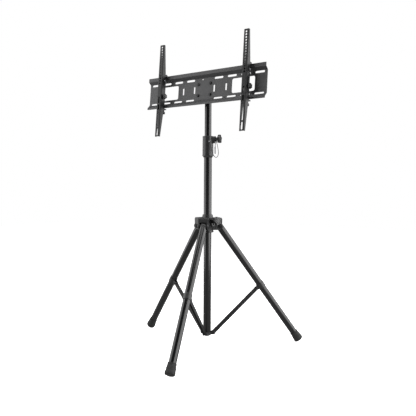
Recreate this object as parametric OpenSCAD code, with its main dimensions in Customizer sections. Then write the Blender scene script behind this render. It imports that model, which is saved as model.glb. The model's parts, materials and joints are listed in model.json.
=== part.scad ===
// Folding tripod floor stand with a telescoping mast and a tilting flat-panel mount.
// The mast is vertical, the mount's plate runs along X and its front faces -Y.
// The floor is z = 0 and the origin is the middle of the footprint.

/* [Mast] */
// Outer diameter of the lower mast tube
mast_d = 35; // [30:0.5:42]
// Wall of every round tube
tube_wall = 1.5; // [1:0.1:2]
// Thickness of the guide rings between the two mast tubes
ring_t = 1; // [0.8:0.1:1.5]
// Height of the lower mast tube's foot above the floor
mast_foot_z = 66; // [60:1:80]
// Height of the top of the height clamp
clamp_top_z = 936; // [880:2:1000]
// Length of upper tube that stays inside the mast below the clamp top
upper_hidden = 320; // [300:5:360]

/* [Tripod] */
// Height of the leg pivots when the tripod stands open
crown_z = 535; // [480:1:645]
// Radius of the feet about the mast axis
stance_r = 425; // [360:5:510]
// Outer diameter of the leg tubes
leg_d = 32; // [28:0.2:39]
// Distance along a leg from its pivot to the brace strap
strap_at = 332; // [300:4:360]
// Gap between a folded brace and its leg tube
strap_room = 2.5; // [2.5:0.1:4]
// Gap between a folded brace and the mast
mast_room = 2; // [1.5:0.1:3]
// Height of the brace pivots on the bottom hub
hub_z = 61; // [58:1:66]
// Depth of the brace channel
brace_h = 16; // [12:0.5:16]
// Width of the brace channel
brace_w = 10; // [8:1:12]
// Angle of the first leg, measured from the plate's right end
leg_turn = 47.7; // [40:0.1:56]
// Distance that the rubber foot's ball stands out from the leg tube
foot_flare = 5; // [4:0.5:7]

/* [Knobs] */
// Diameter of the two mast knobs
knob_d = 39; // [34:1:42]
// Thickness of the two mast knobs
knob_t = 13; // [10:1:16]
// Angle of the height clamp's knob from the plate's right end
clamp_turn = 18.4; // [10:0.1:30]
// Angle of the tripod lock's knob from the plate's right end
lock_turn = -12.3; // [-16:0.1:-8]
// Diameter of the two tilt knobs
tilt_knob_d = 24; // [20:1:28]

/* [Mount] */
// Height of the head's tilt axis at rest
head_z = 1142; // [1120:2:1200]
// Lean of the head at rest, top to the back
head_lean = 4.8; // [0:0.1:8]
// Width of the rail plate
plate_w = 640; // [533:1:768]
// Height of the rail plate
plate_h = 148; // [144:1:160]
// Thickness of the rail plate
plate_t = 2; // [1.5:0.1:2.2]
// Distance from the mast axis to the front of the plate's web
web_y = 30; // [29:0.5:32]
// Distance that the plate's lips stand in front of its web
lip_reach = 14; // [13:0.5:15]
// Distance between the slots along the plate
slot_pitch = 69; // [64:1:70]
// Length of each slot in the plate
slot_len = 46; // [40:1:50]

/* [Arms] */
// Place of the left arm along the plate
arm_left_x = -223; // [-240:1:-200]
// Place of the right arm along the plate
arm_right_x = 236; // [200:1:240]
// Length of each arm
arm_len = 425; // [354:1:510]
// Height of the arm's top end above the tilt axis
arm_top = 215; // [205:1:240]
// Width across an arm
arm_w = 24; // [24:1:28]
// Thickness of the arm's sheet metal
arm_t = 2; // [1.5:0.1:2]
// Distance from the plate's lips to the front of the arms
arm_reach = 31; // [31:0.5:34]
// Diameter of the screw holes for the display
vesa_d = 8.5; // [8:0.1:9]
// Distance between the screw holes
vesa_pitch = 12; // [11.5:0.1:12.5]
// Number of round screw holes in each arm
vesa_count = 15; // [12:1:15]
// Full travel of the arm's tilt
arm_swing = 8; // [4:1:8]

/* [Fits] */
// Radial clearance of a turning or sliding fit
fit = 0.05; // [0.03:0.01:0.1]
// Gap between faces that move past each other
gap = 0.5; // [0.4:0.1:0.6]

/* [Hidden] */
$fn = 64;

// Tripod: derived sizes
leg_az = [leg_turn, leg_turn + 120, leg_turn + 240];
foot_r = leg_d / 2 + foot_flare;
foot_sink = 2;
foot_z = foot_r - foot_sink;
mast_r = mast_d / 2;
hub_r = mast_r + mast_room + brace_h / 2;
strap_drop = leg_d / 2 + strap_room + brace_h / 2;
crown_r = hub_r + strap_drop;
leg_angle = atan((stance_r - crown_r) / (crown_z - foot_z));
leg_len = (stance_r - crown_r) / sin(leg_angle);
strap_x = crown_r + strap_at * sin(leg_angle) - strap_drop * cos(leg_angle);
strap_z = crown_z - strap_at * cos(leg_angle) - strap_drop * sin(leg_angle);
brace_angle = atan((strap_x - hub_r) / (strap_z - hub_z));
brace_len = (strap_x - hub_r) / sin(brace_angle);
bolt_d = 8;
rivet_d = 6;
cap_head = 6;
ear_t = 6.5;
clevis_gap = leg_d + 2 * gap;
clevis_w = clevis_gap + 2 * ear_t;
brace_t = 1.5;
hub_ear_t = 4;
hub_ear_d = 17;
strap_wall = 2.2;
strap_ear_t = 3.5;
strap_len = 26;
boot_wall = 1.6;
boot_len = 34;
rivet_head_d = 10;
clevis_under = leg_d / 2 + 3;
clevis_top = leg_d / 2 + 22;
crown_ear_d = 25;

// Mast: derived sizes
mast_id = mast_d - 2 * tube_wall;
upper_d = mast_id - 2 * ring_t;
upper_r = upper_d / 2;
collar_len = 96;
collar_d = mast_d + 12.4;
hub_core_d = mast_d - 5;
bush_len = 38;
mast_top_z = clamp_top_z - bush_len - 2;
upper_foot_z = clamp_top_z - upper_hidden;
upper_top_z = head_z + 16;
bush_t = 1.5;

// Knobs: derived sizes
stud_d = 8;
clamp_knob_z = clamp_top_z - 14;
clamp_knob_r = collar_d / 2 + 23;
clamp_boss_d = 26;
clamp_pad_w = 20;
pin_hole_d = 7;
pin_hole_z = clamp_top_z - 70;
tether_turn = -39.5;
tether_z = clamp_top_z - 26;
crown_sleeve_d = mast_d + 17;
crown_sleeve_r = crown_sleeve_d / 2;
crown_h = [crown_z - 27, crown_z + 52];
bush_wall = 2;
lock_knob_z = crown_z + 26;
lock_knob_r = crown_sleeve_r + 33;
lock_boss_d = 24;
cap_screw_z = crown_z + 11;
cap_screw_d = 8;
cap_boss_d = 20;
knob_neck = 4;
knob_cap = 3;
mast_lobes = 5;
tilt_lobes = 6;

// Mount: derived sizes, in the head's own frame with the tilt axis at the origin
lip_y = web_y + lip_reach;
web_mid = -4.5;
lock_drop = 24;
head_swing = [-5, 10];
slot_h = 9;
slot_z = plate_h / 2 - 29;
first_slot = 77;
slot_count = floor((plate_w / 2 - first_slot - slot_len / 2 - 10) / slot_pitch) + 1;
upright_slots = [54, 117];
upright_slot = [8, 30];
window_x = 204;
window_size = [114, plate_h - 85];
window_r = 8;
bracket_size = [90, 76];
bracket_t = 3;
bracket_w = upper_d + 2 * gap + 2 * bracket_t;
plate_bolt_x = 33;
plate_bolt_z = 25;
plate_bolt_d = 6;
arm_y = lip_y + arm_reach;
arm_mid_depth = 23;
arm_end_depth = 9;
inner_w = arm_w - 2 * arm_t - 2 * gap;
hook_t = 2;
pivot_y = arm_y - 17;
pivot_z = -23;
guide_dy = 1.5;
guide_dz = 71;
guide_d = 6;
guide_y = pivot_y - guide_dy;
guide_z = pivot_z + guide_dz;
latch_y = lip_y - 7;
top_z = plate_h / 2;
arm_bottom = arm_top - arm_len;
arm_slots = [[-25, -56], [-61, -88], [-99, -167], [-173, -205]];
arm_slot_w = 8;
screw_d = 5;

// Footprint: the mast stands off the middle of the overall box
foot_reach = [for (a = leg_az) [stance_r * cos(a), stance_r * sin(a)]];
x_low = min(min([for (p = foot_reach) p[0] - foot_r]), -plate_w / 2);
x_high = max(max([for (p = foot_reach) p[0] + foot_r]), plate_w / 2);
y_low = min([for (p = foot_reach) p[1] - foot_r]);
y_high = max([for (p = foot_reach) p[1] + foot_r]);
mast_x = -(x_low + x_high) / 2;
mast_y = -(y_low + y_high) / 2;

// Colours
BLACK = [0.06, 0.06, 0.065];
PLASTIC = [0.11, 0.11, 0.115];
RUBBER = [0.04, 0.04, 0.04];
NYLON = [0.75, 0.74, 0.7];
ZINC = [0.62, 0.63, 0.65];

// Route of the tether about the mast axis and below the clamp's top, from its screw on the collar,
// in a loop, over the knob's stud to the pin
tether_d = 2.4;
tether = [
    [20.8, -17.1, -26], [22.7, -18.7, -26.7], [24.1, -19.7, -28.5], [25, -19.9, -31.2],
    [25.8, -19, -37.5], [26.9, -16.6, -47], [28.2, -12.6, -60], [30.2, -7.6, -74], [32.6, -2.1, -86],
    [35.4, 4.2, -93.5], [38.3, 10.4, -95], [40.9, 16.2, -91], [42.3, 20.1, -82], [42.3, 21.2, -71],
    [41.2, 19.9, -58], [40.2, 17, -44], [39.7, 12.2, -31], [39.6, 8.5, -21.5], [39.2, 6.8, -13.8],
    [38.6, 8.3, -9.7], [37.3, 12.4, -8], [35.9, 16.5, -9.7], [35.3, 18.1, -14], [34.5, 18.4, -20],
    [32, 19.7, -25.2], [28.6, 21, -28.6], [25.8, 21.6, -31.8], [24.4, 21.7, -35.6], [24, 21.7, -39.6]
];

// ---------- helpers ----------

module at_mast() { translate([mast_x, mast_y, 0]) children(); }

module at_turn(a) { at_mast() rotate([0, 0, a]) children(); }

module at_leg(i) {
    at_turn(leg_az[i]) translate([crown_r, 0, crown_z]) rotate([0, -leg_angle, 0]) children();
}

module at_head() { at_mast() translate([0, 0, head_z]) rotate([-head_lean, 0, 0]) children(); }

module at_arm(x) { at_head() translate([x, 0, 0]) children(); }

// Cylinder along X that starts at x = 0
module x_cyl(d, h) { rotate([0, 90, 0]) cylinder(d = d, h = h); }

// Cylinder along Y, centred
module y_cyl(d, h) { rotate([90, 0, 0]) cylinder(d = d, h = h, center = true); }

module tube(d, wall, z0, z1) {
    difference() {
        translate([0, 0, z0]) cylinder(d = d, h = z1 - z0);
        translate([0, 0, z0 - 1]) cylinder(d = d - 2 * wall, h = z1 - z0 + 2);
    }
}

// Plate shape drawn as (y, z) points, extruded along X and centred
module x_plate(w) { rotate([90, 0, 90]) linear_extrude(w, center = true) children(); }

// Lobed grip of a knob, along X from x = 0, with a blind hole for its stud
module lobed_knob(d, t, lobes, hole) {
    core = 0.66;
    lobe_d = 0.3 * d;
    neck = 0.4;
    difference() {
        union() {
            rotate([90, 0, 90]) linear_extrude(t) {
                circle(d = core * d);
                for (k = [0 : lobes - 1]) {
                    rotate(360 * k / lobes + 90) translate([(d - lobe_d) / 2, 0]) circle(d = lobe_d);
                }
            }
            translate([-knob_neck, 0, 0]) x_cyl(neck * d, knob_neck + 1);
        }
        translate([-knob_neck - 1, 0, 0]) x_cyl(hole, t + knob_neck + 1 - knob_cap);
    }
}

// Slot along an arc about the origin, from angle a0 to a1 in the drawing plane
module arc_slot(r, w, a0, a1) {
    for (a = [a0, a1]) rotate(a) translate([r, 0]) circle(d = w);
    intersection() {
        difference() {
            circle(r = r + w / 2);
            circle(r = r - w / 2);
        }
        polygon([[0, 0], 2 * r * [cos(a0), sin(a0)], 2 * r * [cos(a1), sin(a1)]]);
    }
}

// Hexagon bolt head or nut along X from x = 0
module hex(across, t) { rotate([0, 90, 0]) cylinder(d = across / cos(30), h = t, $fn = 6); }

// ---------- mast ----------

module outer_mast() {
    color(BLACK) at_mast() difference() {
        tube(mast_d, tube_wall, mast_foot_z, mast_top_z);
        rotate([0, 0, clamp_turn + 90]) translate([0, 0, pin_hole_z]) x_cyl(pin_hole_d, mast_d);
    }
}

// Plug in the foot of the mast, with a core below it that carries the ears
module bottom_hub() {
    plug = 35;
    core_foot = hub_z - 13;
    chamfer = 4;
    color(PLASTIC) at_mast() {
        difference() {
            union() {
                translate([0, 0, mast_foot_z - 1]) cylinder(d = mast_id - 2 * fit, h = plug);
                translate([0, 0, core_foot]) cylinder(d1 = hub_core_d - 6, d2 = hub_core_d, h = chamfer);
                translate([0, 0, core_foot + chamfer]) {
                    cylinder(d = hub_core_d, h = mast_foot_z - core_foot - chamfer);
                }
            }
            translate([0, 0, hub_z]) cylinder(d = hub_core_d - 10, h = 2 * plug);
        }
        for (a = leg_az) rotate([0, 0, a]) hub_ears();
    }
}

// The two ears that hold a brace; the slot between them is open below
module hub_ears() {
    inner = brace_w / 2 + gap;
    root = hub_core_d / 2 - 4;
    for (s = [-1, 1]) translate([0, s * (inner + hub_ear_t / 2), 0]) difference() {
        union() {
            translate([hub_r, 0, hub_z]) y_cyl(hub_ear_d, hub_ear_t);
            translate([root, -hub_ear_t / 2, hub_z - 8]) {
                cube([hub_r - root, hub_ear_t, mast_foot_z - hub_z + 8]);
            }
        }
        translate([hub_r, 0, hub_z]) y_cyl(rivet_d, hub_ear_t + 2);
    }
}

// Rivet heads in the hub's ears, one pair for each brace
module hub_rivets() {
    inner = brace_w / 2 + gap;
    head = 1.8;
    color(ZINC) for (a = leg_az) at_turn(a) translate([hub_r, 0, hub_z]) {
        for (s = [-1, 1]) {
            translate([0, s * (inner + hub_ear_t / 2), 0]) y_cyl(rivet_d - 2 * fit, hub_ear_t);
            translate([0, s * (inner + hub_ear_t + head / 2), 0]) y_cyl(rivet_head_d, head);
        }
    }
}

module clamp_collar() {
    z0 = clamp_top_z - collar_len;
    cone = 10;
    pad_x = collar_d / 2 + 7.3;
    boss_x = collar_d / 2 + 11.8;
    color(PLASTIC) at_mast() difference() {
        union() {
            translate([0, 0, z0]) cylinder(d1 = mast_d + 3, d2 = collar_d + 1, h = cone);
            translate([0, 0, z0 + cone]) {
                cylinder(d1 = collar_d + 1, d2 = collar_d, h = collar_len - cone - 2);
            }
            translate([0, 0, clamp_top_z - 2]) cylinder(d1 = collar_d, d2 = collar_d - 4, h = 2);
            rotate([0, 0, clamp_turn]) {
                translate([0, -clamp_pad_w / 2, clamp_top_z - 32]) cube([pad_x, clamp_pad_w, 28]);
                translate([0, 0, clamp_knob_z]) x_cyl(clamp_boss_d, boss_x);
            }
        }
        translate([0, 0, z0 - 1]) cylinder(d = mast_d + 2 * fit, h = mast_top_z - z0 + 1);
        translate([0, 0, mast_top_z - 0.1]) cylinder(d = upper_d + 2 * bush_t + 4 * fit, h = bush_len + 5);
        rotate([0, 0, clamp_turn]) translate([0, 0, clamp_knob_z]) x_cyl(stud_d + 4 * fit, 2 * collar_d);
        rotate([0, 0, clamp_turn + 90]) translate([0, 0, pin_hole_z]) x_cyl(pin_hole_d, collar_d);
        rotate([0, 0, tether_turn]) translate([0, 0, tether_z]) x_cyl(3, collar_d);
    }
}

module collar_bush() {
    color(NYLON) at_mast() difference() {
        tube(upper_d + 2 * bush_t + 2 * fit, bush_t, mast_top_z + 0.2, clamp_top_z);
        rotate([0, 0, clamp_turn]) translate([0, 0, clamp_knob_z]) x_cyl(stud_d + 2, collar_d);
    }
}

module tether_screw() {
    color(ZINC) at_turn(tether_turn) translate([0, 0, tether_z]) {
        translate([collar_d / 2 - 5, 0, 0]) x_cyl(3 - 2 * fit, 5.5);
        translate([collar_d / 2 + 0.4, 0, 0]) x_cyl(7, 1.8);
    }
}

module guide_ring() {
    color(NYLON) at_mast() {
        tube(mast_id - 2 * fit, ring_t - 2 * fit, upper_foot_z + 4, upper_foot_z + 24);
        tube(mast_id - 2 * fit, ring_t + 2, upper_foot_z - 4, upper_foot_z - 0.3);
        tube(mast_id - 2 * fit, ring_t - 2 * fit, upper_foot_z - 0.5, upper_foot_z + 5);
    }
}

module upper_mast() {
    color(BLACK) at_mast() difference() {
        tube(upper_d, tube_wall, upper_foot_z, upper_top_z);
        for (z = [upper_foot_z + 60 : 50 : upper_top_z - 80]) {
            rotate([0, 0, clamp_turn + 90]) translate([0, 0, z]) x_cyl(6.5, upper_d);
        }
        for (z = [head_z, head_z - lock_drop]) {
            translate([-upper_d, 0, z]) x_cyl(bolt_d + 2 * fit, 2 * upper_d);
        }
    }
}

module mast_cap() {
    color(PLASTIC) at_mast() {
        translate([0, 0, upper_top_z]) cylinder(d1 = upper_d, d2 = upper_d - 2, h = 2.5);
        translate([0, 0, upper_top_z - 8]) cylinder(d = upper_d - 2 * tube_wall - 2 * fit, h = 8.5);
    }
}

// ---------- crown ----------

module crown() {
    taper = [18, 8];
    recess = crown_sleeve_r + 8;
    color(PLASTIC) at_mast() difference() {
        union() {
            translate([0, 0, crown_h[0]]) cylinder(d = crown_sleeve_d, h = crown_h[1] - crown_h[0] - taper[0]);
            translate([0, 0, crown_h[1] - taper[0]]) {
                cylinder(d1 = crown_sleeve_d, d2 = crown_sleeve_d - taper[1], h = taper[0]);
            }
            for (a = leg_az) rotate([0, 0, a]) clevis();
            rotate([0, 0, lock_turn]) {
                translate([0, 0, lock_knob_z]) x_cyl(lock_boss_d, crown_sleeve_r + 24);
                translate([0, 0, cap_screw_z]) x_cyl(cap_boss_d, crown_sleeve_r + 13);
                translate([0, -cap_boss_d / 2, cap_screw_z]) cube([crown_sleeve_r + 10, cap_boss_d, 15]);
            }
        }
        translate([0, 0, crown_h[0] - 1]) {
            cylinder(d = mast_d + 2 * bush_wall + 2 * fit, h = crown_h[1] - crown_h[0] + 2);
        }
        for (a = leg_az) rotate([0, 0, a]) clevis_cut();
        rotate([0, 0, lock_turn]) {
            translate([0, 0, lock_knob_z]) x_cyl(stud_d + 4 * fit, 2 * crown_sleeve_d);
            translate([recess, 0, cap_screw_z]) x_cyl(cap_screw_d, crown_sleeve_r);
        }
    }
}

// One leg's pair of ears with the bridge over them, radial along X
module clevis() {
    reach = crown_r + 8;
    root = mast_r - 2.5;
    intersection() {
        union() {
            translate([root, -clevis_w / 2, crown_z]) cube([reach - root, clevis_w, clevis_top]);
            translate([root, -clevis_w / 2, crown_z - 16]) cube([crown_r - root, clevis_w, 20]);
            translate([crown_r, 0, crown_z]) y_cyl(crown_ear_d, clevis_w);
        }
        union() {
            translate([0, 0, crown_z]) y_cyl(2 * (reach + 8), clevis_w);
            translate([0, -clevis_w / 2, crown_z - 20]) cube([reach - 12, clevis_w, 80]);
        }
    }
}

module clevis_cut() {
    drop = 40;
    translate([mast_r + 11, -clevis_gap / 2, crown_z - drop]) {
        cube([2 * crown_r, clevis_gap, drop + clevis_under]);
    }
    translate([crown_r, 0, crown_z]) y_cyl(bolt_d + 2 * fit, clevis_w + 10);
}

module crown_bush() {
    color(NYLON) at_mast() difference() {
        tube(mast_d + 2 * bush_wall, bush_wall - fit, crown_h[0] + 1, crown_h[1] - 1);
        rotate([0, 0, lock_turn]) translate([0, 0, lock_knob_z]) x_cyl(stud_d + 2, crown_sleeve_d);
    }
}

module crown_bolts() {
    color(ZINC) for (a = leg_az) at_turn(a) translate([crown_r, 0, crown_z]) rotate([0, 0, 90]) {
        translate([-clevis_w / 2 - 7.5, 0, 0]) x_cyl(bolt_d, clevis_w + 7.5 + 1);
        translate([clevis_w / 2 + 0.1, 0, 0]) x_cyl(14, 4.4);
    }
}

module crown_nuts() {
    color(ZINC) for (a = leg_az) at_turn(a) translate([crown_r, 0, crown_z]) rotate([0, 0, 90]) difference() {
        translate([-clevis_w / 2 - 6.6, 0, 0]) hex(13, 6.5);
        translate([-clevis_w / 2 - 10, 0, 0]) x_cyl(bolt_d + 2 * fit, 12);
    }
}

module crown_cap_screw() {
    seat = crown_sleeve_r + 8.2;
    color(BLACK) at_turn(lock_turn) translate([0, 0, cap_screw_z]) difference() {
        translate([seat, 0, 0]) x_cyl(cap_screw_d - 2 * fit, 3.5);
        translate([seat + 1.8, 0, 0]) hex(4, 5);
    }
}

module lock_knob() {
    color(PLASTIC) at_turn(lock_turn) translate([lock_knob_r, 0, lock_knob_z]) {
        rotate([20, 0, 0]) lobed_knob(knob_d, knob_t, mast_lobes, stud_d + 2 * fit);
    }
}

module lock_stud() {
    color(ZINC) at_turn(lock_turn) translate([mast_r + 0.4, 0, lock_knob_z]) {
        x_cyl(stud_d, lock_knob_r + knob_t - knob_cap - 1 - mast_r);
    }
}

module clamp_knob() {
    color(PLASTIC) at_turn(clamp_turn) translate([clamp_knob_r, 0, clamp_knob_z]) {
        lobed_knob(knob_d, knob_t, mast_lobes, stud_d + 2 * fit);
    }
}

module clamp_stud() {
    color(ZINC) at_turn(clamp_turn) translate([upper_r + 0.4, 0, clamp_knob_z]) {
        x_cyl(stud_d, clamp_knob_r + knob_t - knob_cap - 1 - upper_r);
    }
}

// Quick-release pin that hangs by its ring from the end of its tether
module safety_pin() {
    end = tether[len(tether) - 1];
    ring_d = 8;
    shank = 31;
    color(ZINC) at_mast() translate([end[0], end[1], clamp_top_z + end[2] - 0.3 - ring_d / 2]) {
        rotate([0, 0, clamp_turn]) {
            difference() {
                translate([-1.2, 0, 0]) x_cyl(ring_d, 2.4);
                translate([-2, 0, 0]) x_cyl(ring_d / 2, 4);
            }
            translate([0, 0, -shank - 3.5]) cylinder(d = pin_hole_d - 2, h = shank);
        }
    }
}

// ---------- legs ----------

module leg_tube(i) {
    color(BLACK) at_leg(i) tube(leg_d, tube_wall, -leg_len + 6, -cap_head);
}

module leg_cap(i) {
    color(PLASTIC) at_leg(i) difference() {
        union() {
            intersection() {
                translate([0, 0, -cap_head]) cylinder(d = leg_d, h = leg_d);
                y_cyl(leg_d, leg_d + 2);
            }
            translate([0, 0, -cap_head - 26]) cylinder(d = leg_d - 2 * tube_wall - 2 * fit, h = 26.5);
        }
        y_cyl(bolt_d + 2 * fit, leg_d + 4);
    }
}

module leg_strap(i) {
    inner = brace_w / 2 + gap;
    ear_h = 15;
    ear_y = inner + strap_ear_t / 2;
    color(PLASTIC) at_leg(i) translate([0, 0, -strap_at]) difference() {
        union() {
            translate([0, 0, -strap_len / 2]) cylinder(d = leg_d + 2 * strap_wall, h = strap_len);
            for (s = [-1, 1]) translate([0, s * ear_y, 0]) {
                translate([-strap_drop, 0, 0]) y_cyl(ear_h, strap_ear_t);
                translate([-strap_drop, -strap_ear_t / 2, -ear_h / 2]) cube([strap_drop, strap_ear_t, ear_h]);
            }
        }
        translate([0, 0, -strap_len]) cylinder(d = leg_d + 2 * fit, h = 2 * strap_len);
        translate([-strap_drop - 9, -inner, -strap_len]) {
            cube([strap_drop - leg_d / 2 + 9, 2 * inner, 2 * strap_len]);
        }
        translate([-strap_drop, 0, 0]) y_cyl(rivet_d, 4 * inner);
    }
}

module strap_rivet(i) {
    w = 2 * (brace_w / 2 + gap + strap_ear_t);
    head = 2;
    color(ZINC) at_leg(i) translate([-strap_drop, 0, -strap_at]) {
        y_cyl(rivet_d, w);
        for (s = [-1, 1]) translate([0, s * (w / 2 + head / 2 + 0.1), 0]) y_cyl(rivet_head_d, head);
    }
}

// Rubber boot with a ball end that is worn flat on the floor
module foot(i) {
    boot_r = leg_d / 2 + boot_wall;
    floor_size = 4 * stance_r;
    color(RUBBER) difference() {
        at_leg(i) translate([0, 0, -leg_len]) difference() {
            union() {
                sphere(r = foot_r);
                cylinder(r1 = foot_r, r2 = foot_r - 1.5, h = 18);
                translate([0, 0, 18]) cylinder(r1 = foot_r - 1.5, r2 = boot_r, h = 10);
                translate([0, 0, 28]) cylinder(r = boot_r, h = boot_len - 28);
            }
            translate([0, 0, 6]) cylinder(d = leg_d + 2 * fit, h = 2 * boot_len);
        }
        translate([-floor_size / 2, -floor_size / 2, -100]) cube([floor_size, floor_size, 100]);
    }
}

// Channel-section brace, open on its lower side
module brace(i) {
    r = brace_h / 2;
    color(BLACK) at_turn(leg_az[i]) translate([strap_x, 0, strap_z]) rotate([0, brace_angle, 0]) {
        difference() {
            union() {
                y_cyl(brace_h, brace_w);
                translate([0, 0, -brace_len]) y_cyl(brace_h, brace_w);
                translate([-r, -brace_w / 2, -brace_len]) cube([brace_h, brace_w, brace_len]);
            }
            translate([-r + brace_t, -brace_w / 2 + brace_t, -brace_len - 20]) {
                cube([brace_h, brace_w - 2 * brace_t, brace_len + 40]);
            }
            for (z = [0, -brace_len]) translate([0, 0, z]) y_cyl(rivet_d + 2 * fit, 2 * brace_w);
        }
    }
}

// ---------- head ----------

module tilt_bolts() {
    w = bracket_w;
    color(ZINC) at_mast() for (z = [0, -lock_drop]) translate([0, 0, head_z + z]) {
        translate([-w / 2 - 8, 0, 0]) x_cyl(bolt_d, w + 8.5);
        translate([w / 2 + 0.2, 0, 0]) hex(13, 5.3);
    }
}

module tilt_nuts() {
    w = bracket_w;
    color(ZINC) at_mast() for (z = [0, -lock_drop]) translate([-w / 2 - 6.8, 0, head_z + z]) difference() {
        hex(13, 6.5);
        translate([-1, 0, 0]) x_cyl(bolt_d + 2 * fit, 9);
    }
}

// Plate with two ears that straddle the mast; the lower hole is an arc for the tilt lock
module tilt_bracket() {
    back = -web_y + plate_t;
    foot = -bracket_size[1] / 2;
    a0 = head_lean - head_swing[1] - 1;
    a1 = head_lean - head_swing[0] + 1;
    color(BLACK) at_head() {
        difference() {
            translate([-bracket_size[0] / 2, back, web_mid + foot]) {
                cube([bracket_size[0], bracket_t, bracket_size[1]]);
            }
            at_plate_bolts() translate([0, plate_t, 0]) y_cyl(plate_bolt_d + 0.5, 10);
        }
        for (s = [-1, 1]) translate([s * (bracket_w - bracket_t) / 2, 0, 0]) x_plate(bracket_t) difference() {
            union() {
                circle(d = 28);
                translate([back + 2, foot]) square([-back - 2, 52]);
                translate([-2, foot]) square([16, -foot]);
            }
            circle(d = bolt_d + 2 * fit);
            rotate(-90) arc_slot(lock_drop, bolt_d + 0.6, a0, a1);
        }
    }
}

// Section of the rail plate as (y, z) points, drawn once for the front and once set back
function rail_front() = [
    [-lip_y, top_z], [-lip_y, top_z - 16], [-web_y, top_z - 28], [-web_y, -top_z + 24],
    [-lip_y, -top_z + 8], [-lip_y, -top_z]
];
function rail_back() = [
    [-lip_y + plate_t, -top_z], [-lip_y + plate_t, -top_z + 7.2], [-web_y + plate_t, -top_z + 23.2],
    [-web_y + plate_t, top_z - 27.2], [-lip_y + plate_t, top_z - 15.2], [-lip_y + plate_t, top_z]
];

module slot_x(len, h) {
    for (s = [-1, 1]) translate([s * (len - h) / 2, 0, 0]) y_cyl(h, 60);
    translate([-(len - h) / 2, -30, -h / 2]) cube([len - h, 60, h]);
}

module rail_plate() {
    small_hole_x = -10;
    color(BLACK) at_head() difference() {
        x_plate(plate_w) polygon(concat(rail_front(), rail_back()));
        for (s = [-1, 1]) {
            for (k = [0 : slot_count - 1], z = [-slot_z, slot_z]) {
                translate([s * (first_slot + k * slot_pitch), -web_y, web_mid + z]) slot_x(slot_len, slot_h);
            }
            for (x = upright_slots) translate([s * x, -web_y, web_mid]) {
                cube([upright_slot[0], 60, upright_slot[1]], center = true);
            }
            translate([s * window_x, -web_y, web_mid]) window(window_size[0], window_size[1], window_r);
        }
        at_plate_bolts() y_cyl(plate_bolt_d + 0.5, 20);
        translate([small_hole_x, -web_y, web_mid + slot_z]) y_cyl(plate_bolt_d, 20);
    }
}

// Puts its children at the four bolts of the tilt bracket, on the front of the plate's web
module at_plate_bolts() {
    for (x = [-plate_bolt_x, plate_bolt_x], z = [-plate_bolt_z, plate_bolt_z]) {
        translate([x, -web_y, web_mid + z]) children();
    }
}

// Rounded window through the plate, centred
module window(w, h, r) {
    for (x = [-1, 1], z = [-1, 1]) translate([x * (w / 2 - r), 0, z * (h / 2 - r)]) y_cyl(2 * r, 20);
    cube([w - 2 * r, 20, h], center = true);
    cube([w, 20, h - 2 * r], center = true);
}

module plate_bolts() {
    color(BLACK) at_head() at_plate_bolts() translate([0, -0.1, 0]) rotate([0, 0, -90]) {
        hex(11, 4.2);
        translate([-12, 0, 0]) x_cyl(plate_bolt_d, 13);
    }
}

module plate_nuts() {
    color(ZINC) at_head() at_plate_bolts() rotate([0, 0, 90]) difference() {
        translate([plate_t + bracket_t + 0.1, 0, 0]) hex(10, 5);
        x_cyl(plate_bolt_d + 2 * fit, 12);
    }
}

// ---------- display arms ----------

// Side of the hook bracket as (y, z) points: down the front, under the lower lip and over the upper one
module hook_side() {
    rear = -lip_y - 0.8;
    front = -arm_y + 4;
    inside = -lip_y + plate_t + 0.8;
    guide_reach = norm([guide_dy, guide_dz]);
    guide_angle = atan2(guide_dz, guide_dy);
    difference() {
        polygon([
            [front, 60], [front, -10], [-lip_y - 18, -top_z - 4], [-lip_y - 18, -top_z - 6.5],
            [-lip_y + 13, -top_z - 6.5], [-lip_y + 13, -top_z - 1.5], [rear, -top_z - 1.5],
            [rear, top_z + 0.3], [inside, top_z + 0.3], [inside, top_z - 13],
            [-lip_y + 10, top_z - 13], [-lip_y + 10, top_z + 4], [-lip_y + 5, top_z + 9],
            [-lip_y - 6, top_z + 9], [-lip_y - 14, top_z + 2]
        ]);
        translate([-pivot_y, pivot_z]) {
            circle(d = bolt_d + fit);
            arc_slot(guide_reach, guide_d + 0.6, guide_angle, guide_angle + arm_swing);
        }
    }
}

module hook(x) {
    front = -arm_y + 4;
    floor_z = -top_z - 6.5;
    color(BLACK) at_arm(x) {
        for (s = [-1, 1]) translate([s * (inner_w - hook_t) / 2, 0, 0]) x_plate(hook_t) hook_side();
        translate([-inner_w / 2 + 1, front, -8]) cube([inner_w - 2, hook_t, 44]);
        difference() {
            translate([-inner_w / 2 + 1, -lip_y - 18, floor_z]) cube([inner_w - 2, 31, 2.5]);
            translate([0, -latch_y, floor_z - 4]) cylinder(d = screw_d + 2 * fit, h = 10);
        }
    }
}

// Side flange of an arm as (y, z) points
module arm_side() {
    waist = [max(-90, arm_bottom + 10), min(85, arm_top - 10)];
    difference() {
        polygon([
            [-arm_y, arm_bottom], [-arm_y + arm_end_depth, arm_bottom], [-arm_y + arm_mid_depth, waist[0]],
            [-arm_y + arm_mid_depth, waist[1]], [-arm_y + arm_end_depth, arm_top], [-arm_y, arm_top]
        ]);
        translate([-pivot_y, pivot_z]) circle(d = bolt_d + 2 * fit);
        translate([-guide_y, guide_z]) circle(d = guide_d + fit);
    }
}

module arm(x) {
    end_margin = 5;
    color(BLACK) at_arm(x) {
        for (s = [-1, 1]) translate([s * (arm_w - arm_t) / 2, 0, 0]) x_plate(arm_t) arm_side();
        difference() {
            translate([-arm_w / 2 + 1, -arm_y, arm_bottom]) cube([arm_w - 2, arm_t, arm_len]);
            for (k = [0 : vesa_count - 1]) {
                translate([0, -arm_y, arm_top - 11 - k * vesa_pitch]) y_cyl(vesa_d, 10);
            }
            for (span = arm_slots) if (span[1] >= arm_bottom + end_margin) arm_slot(span[0], span[1]);
        }
    }
}

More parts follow.
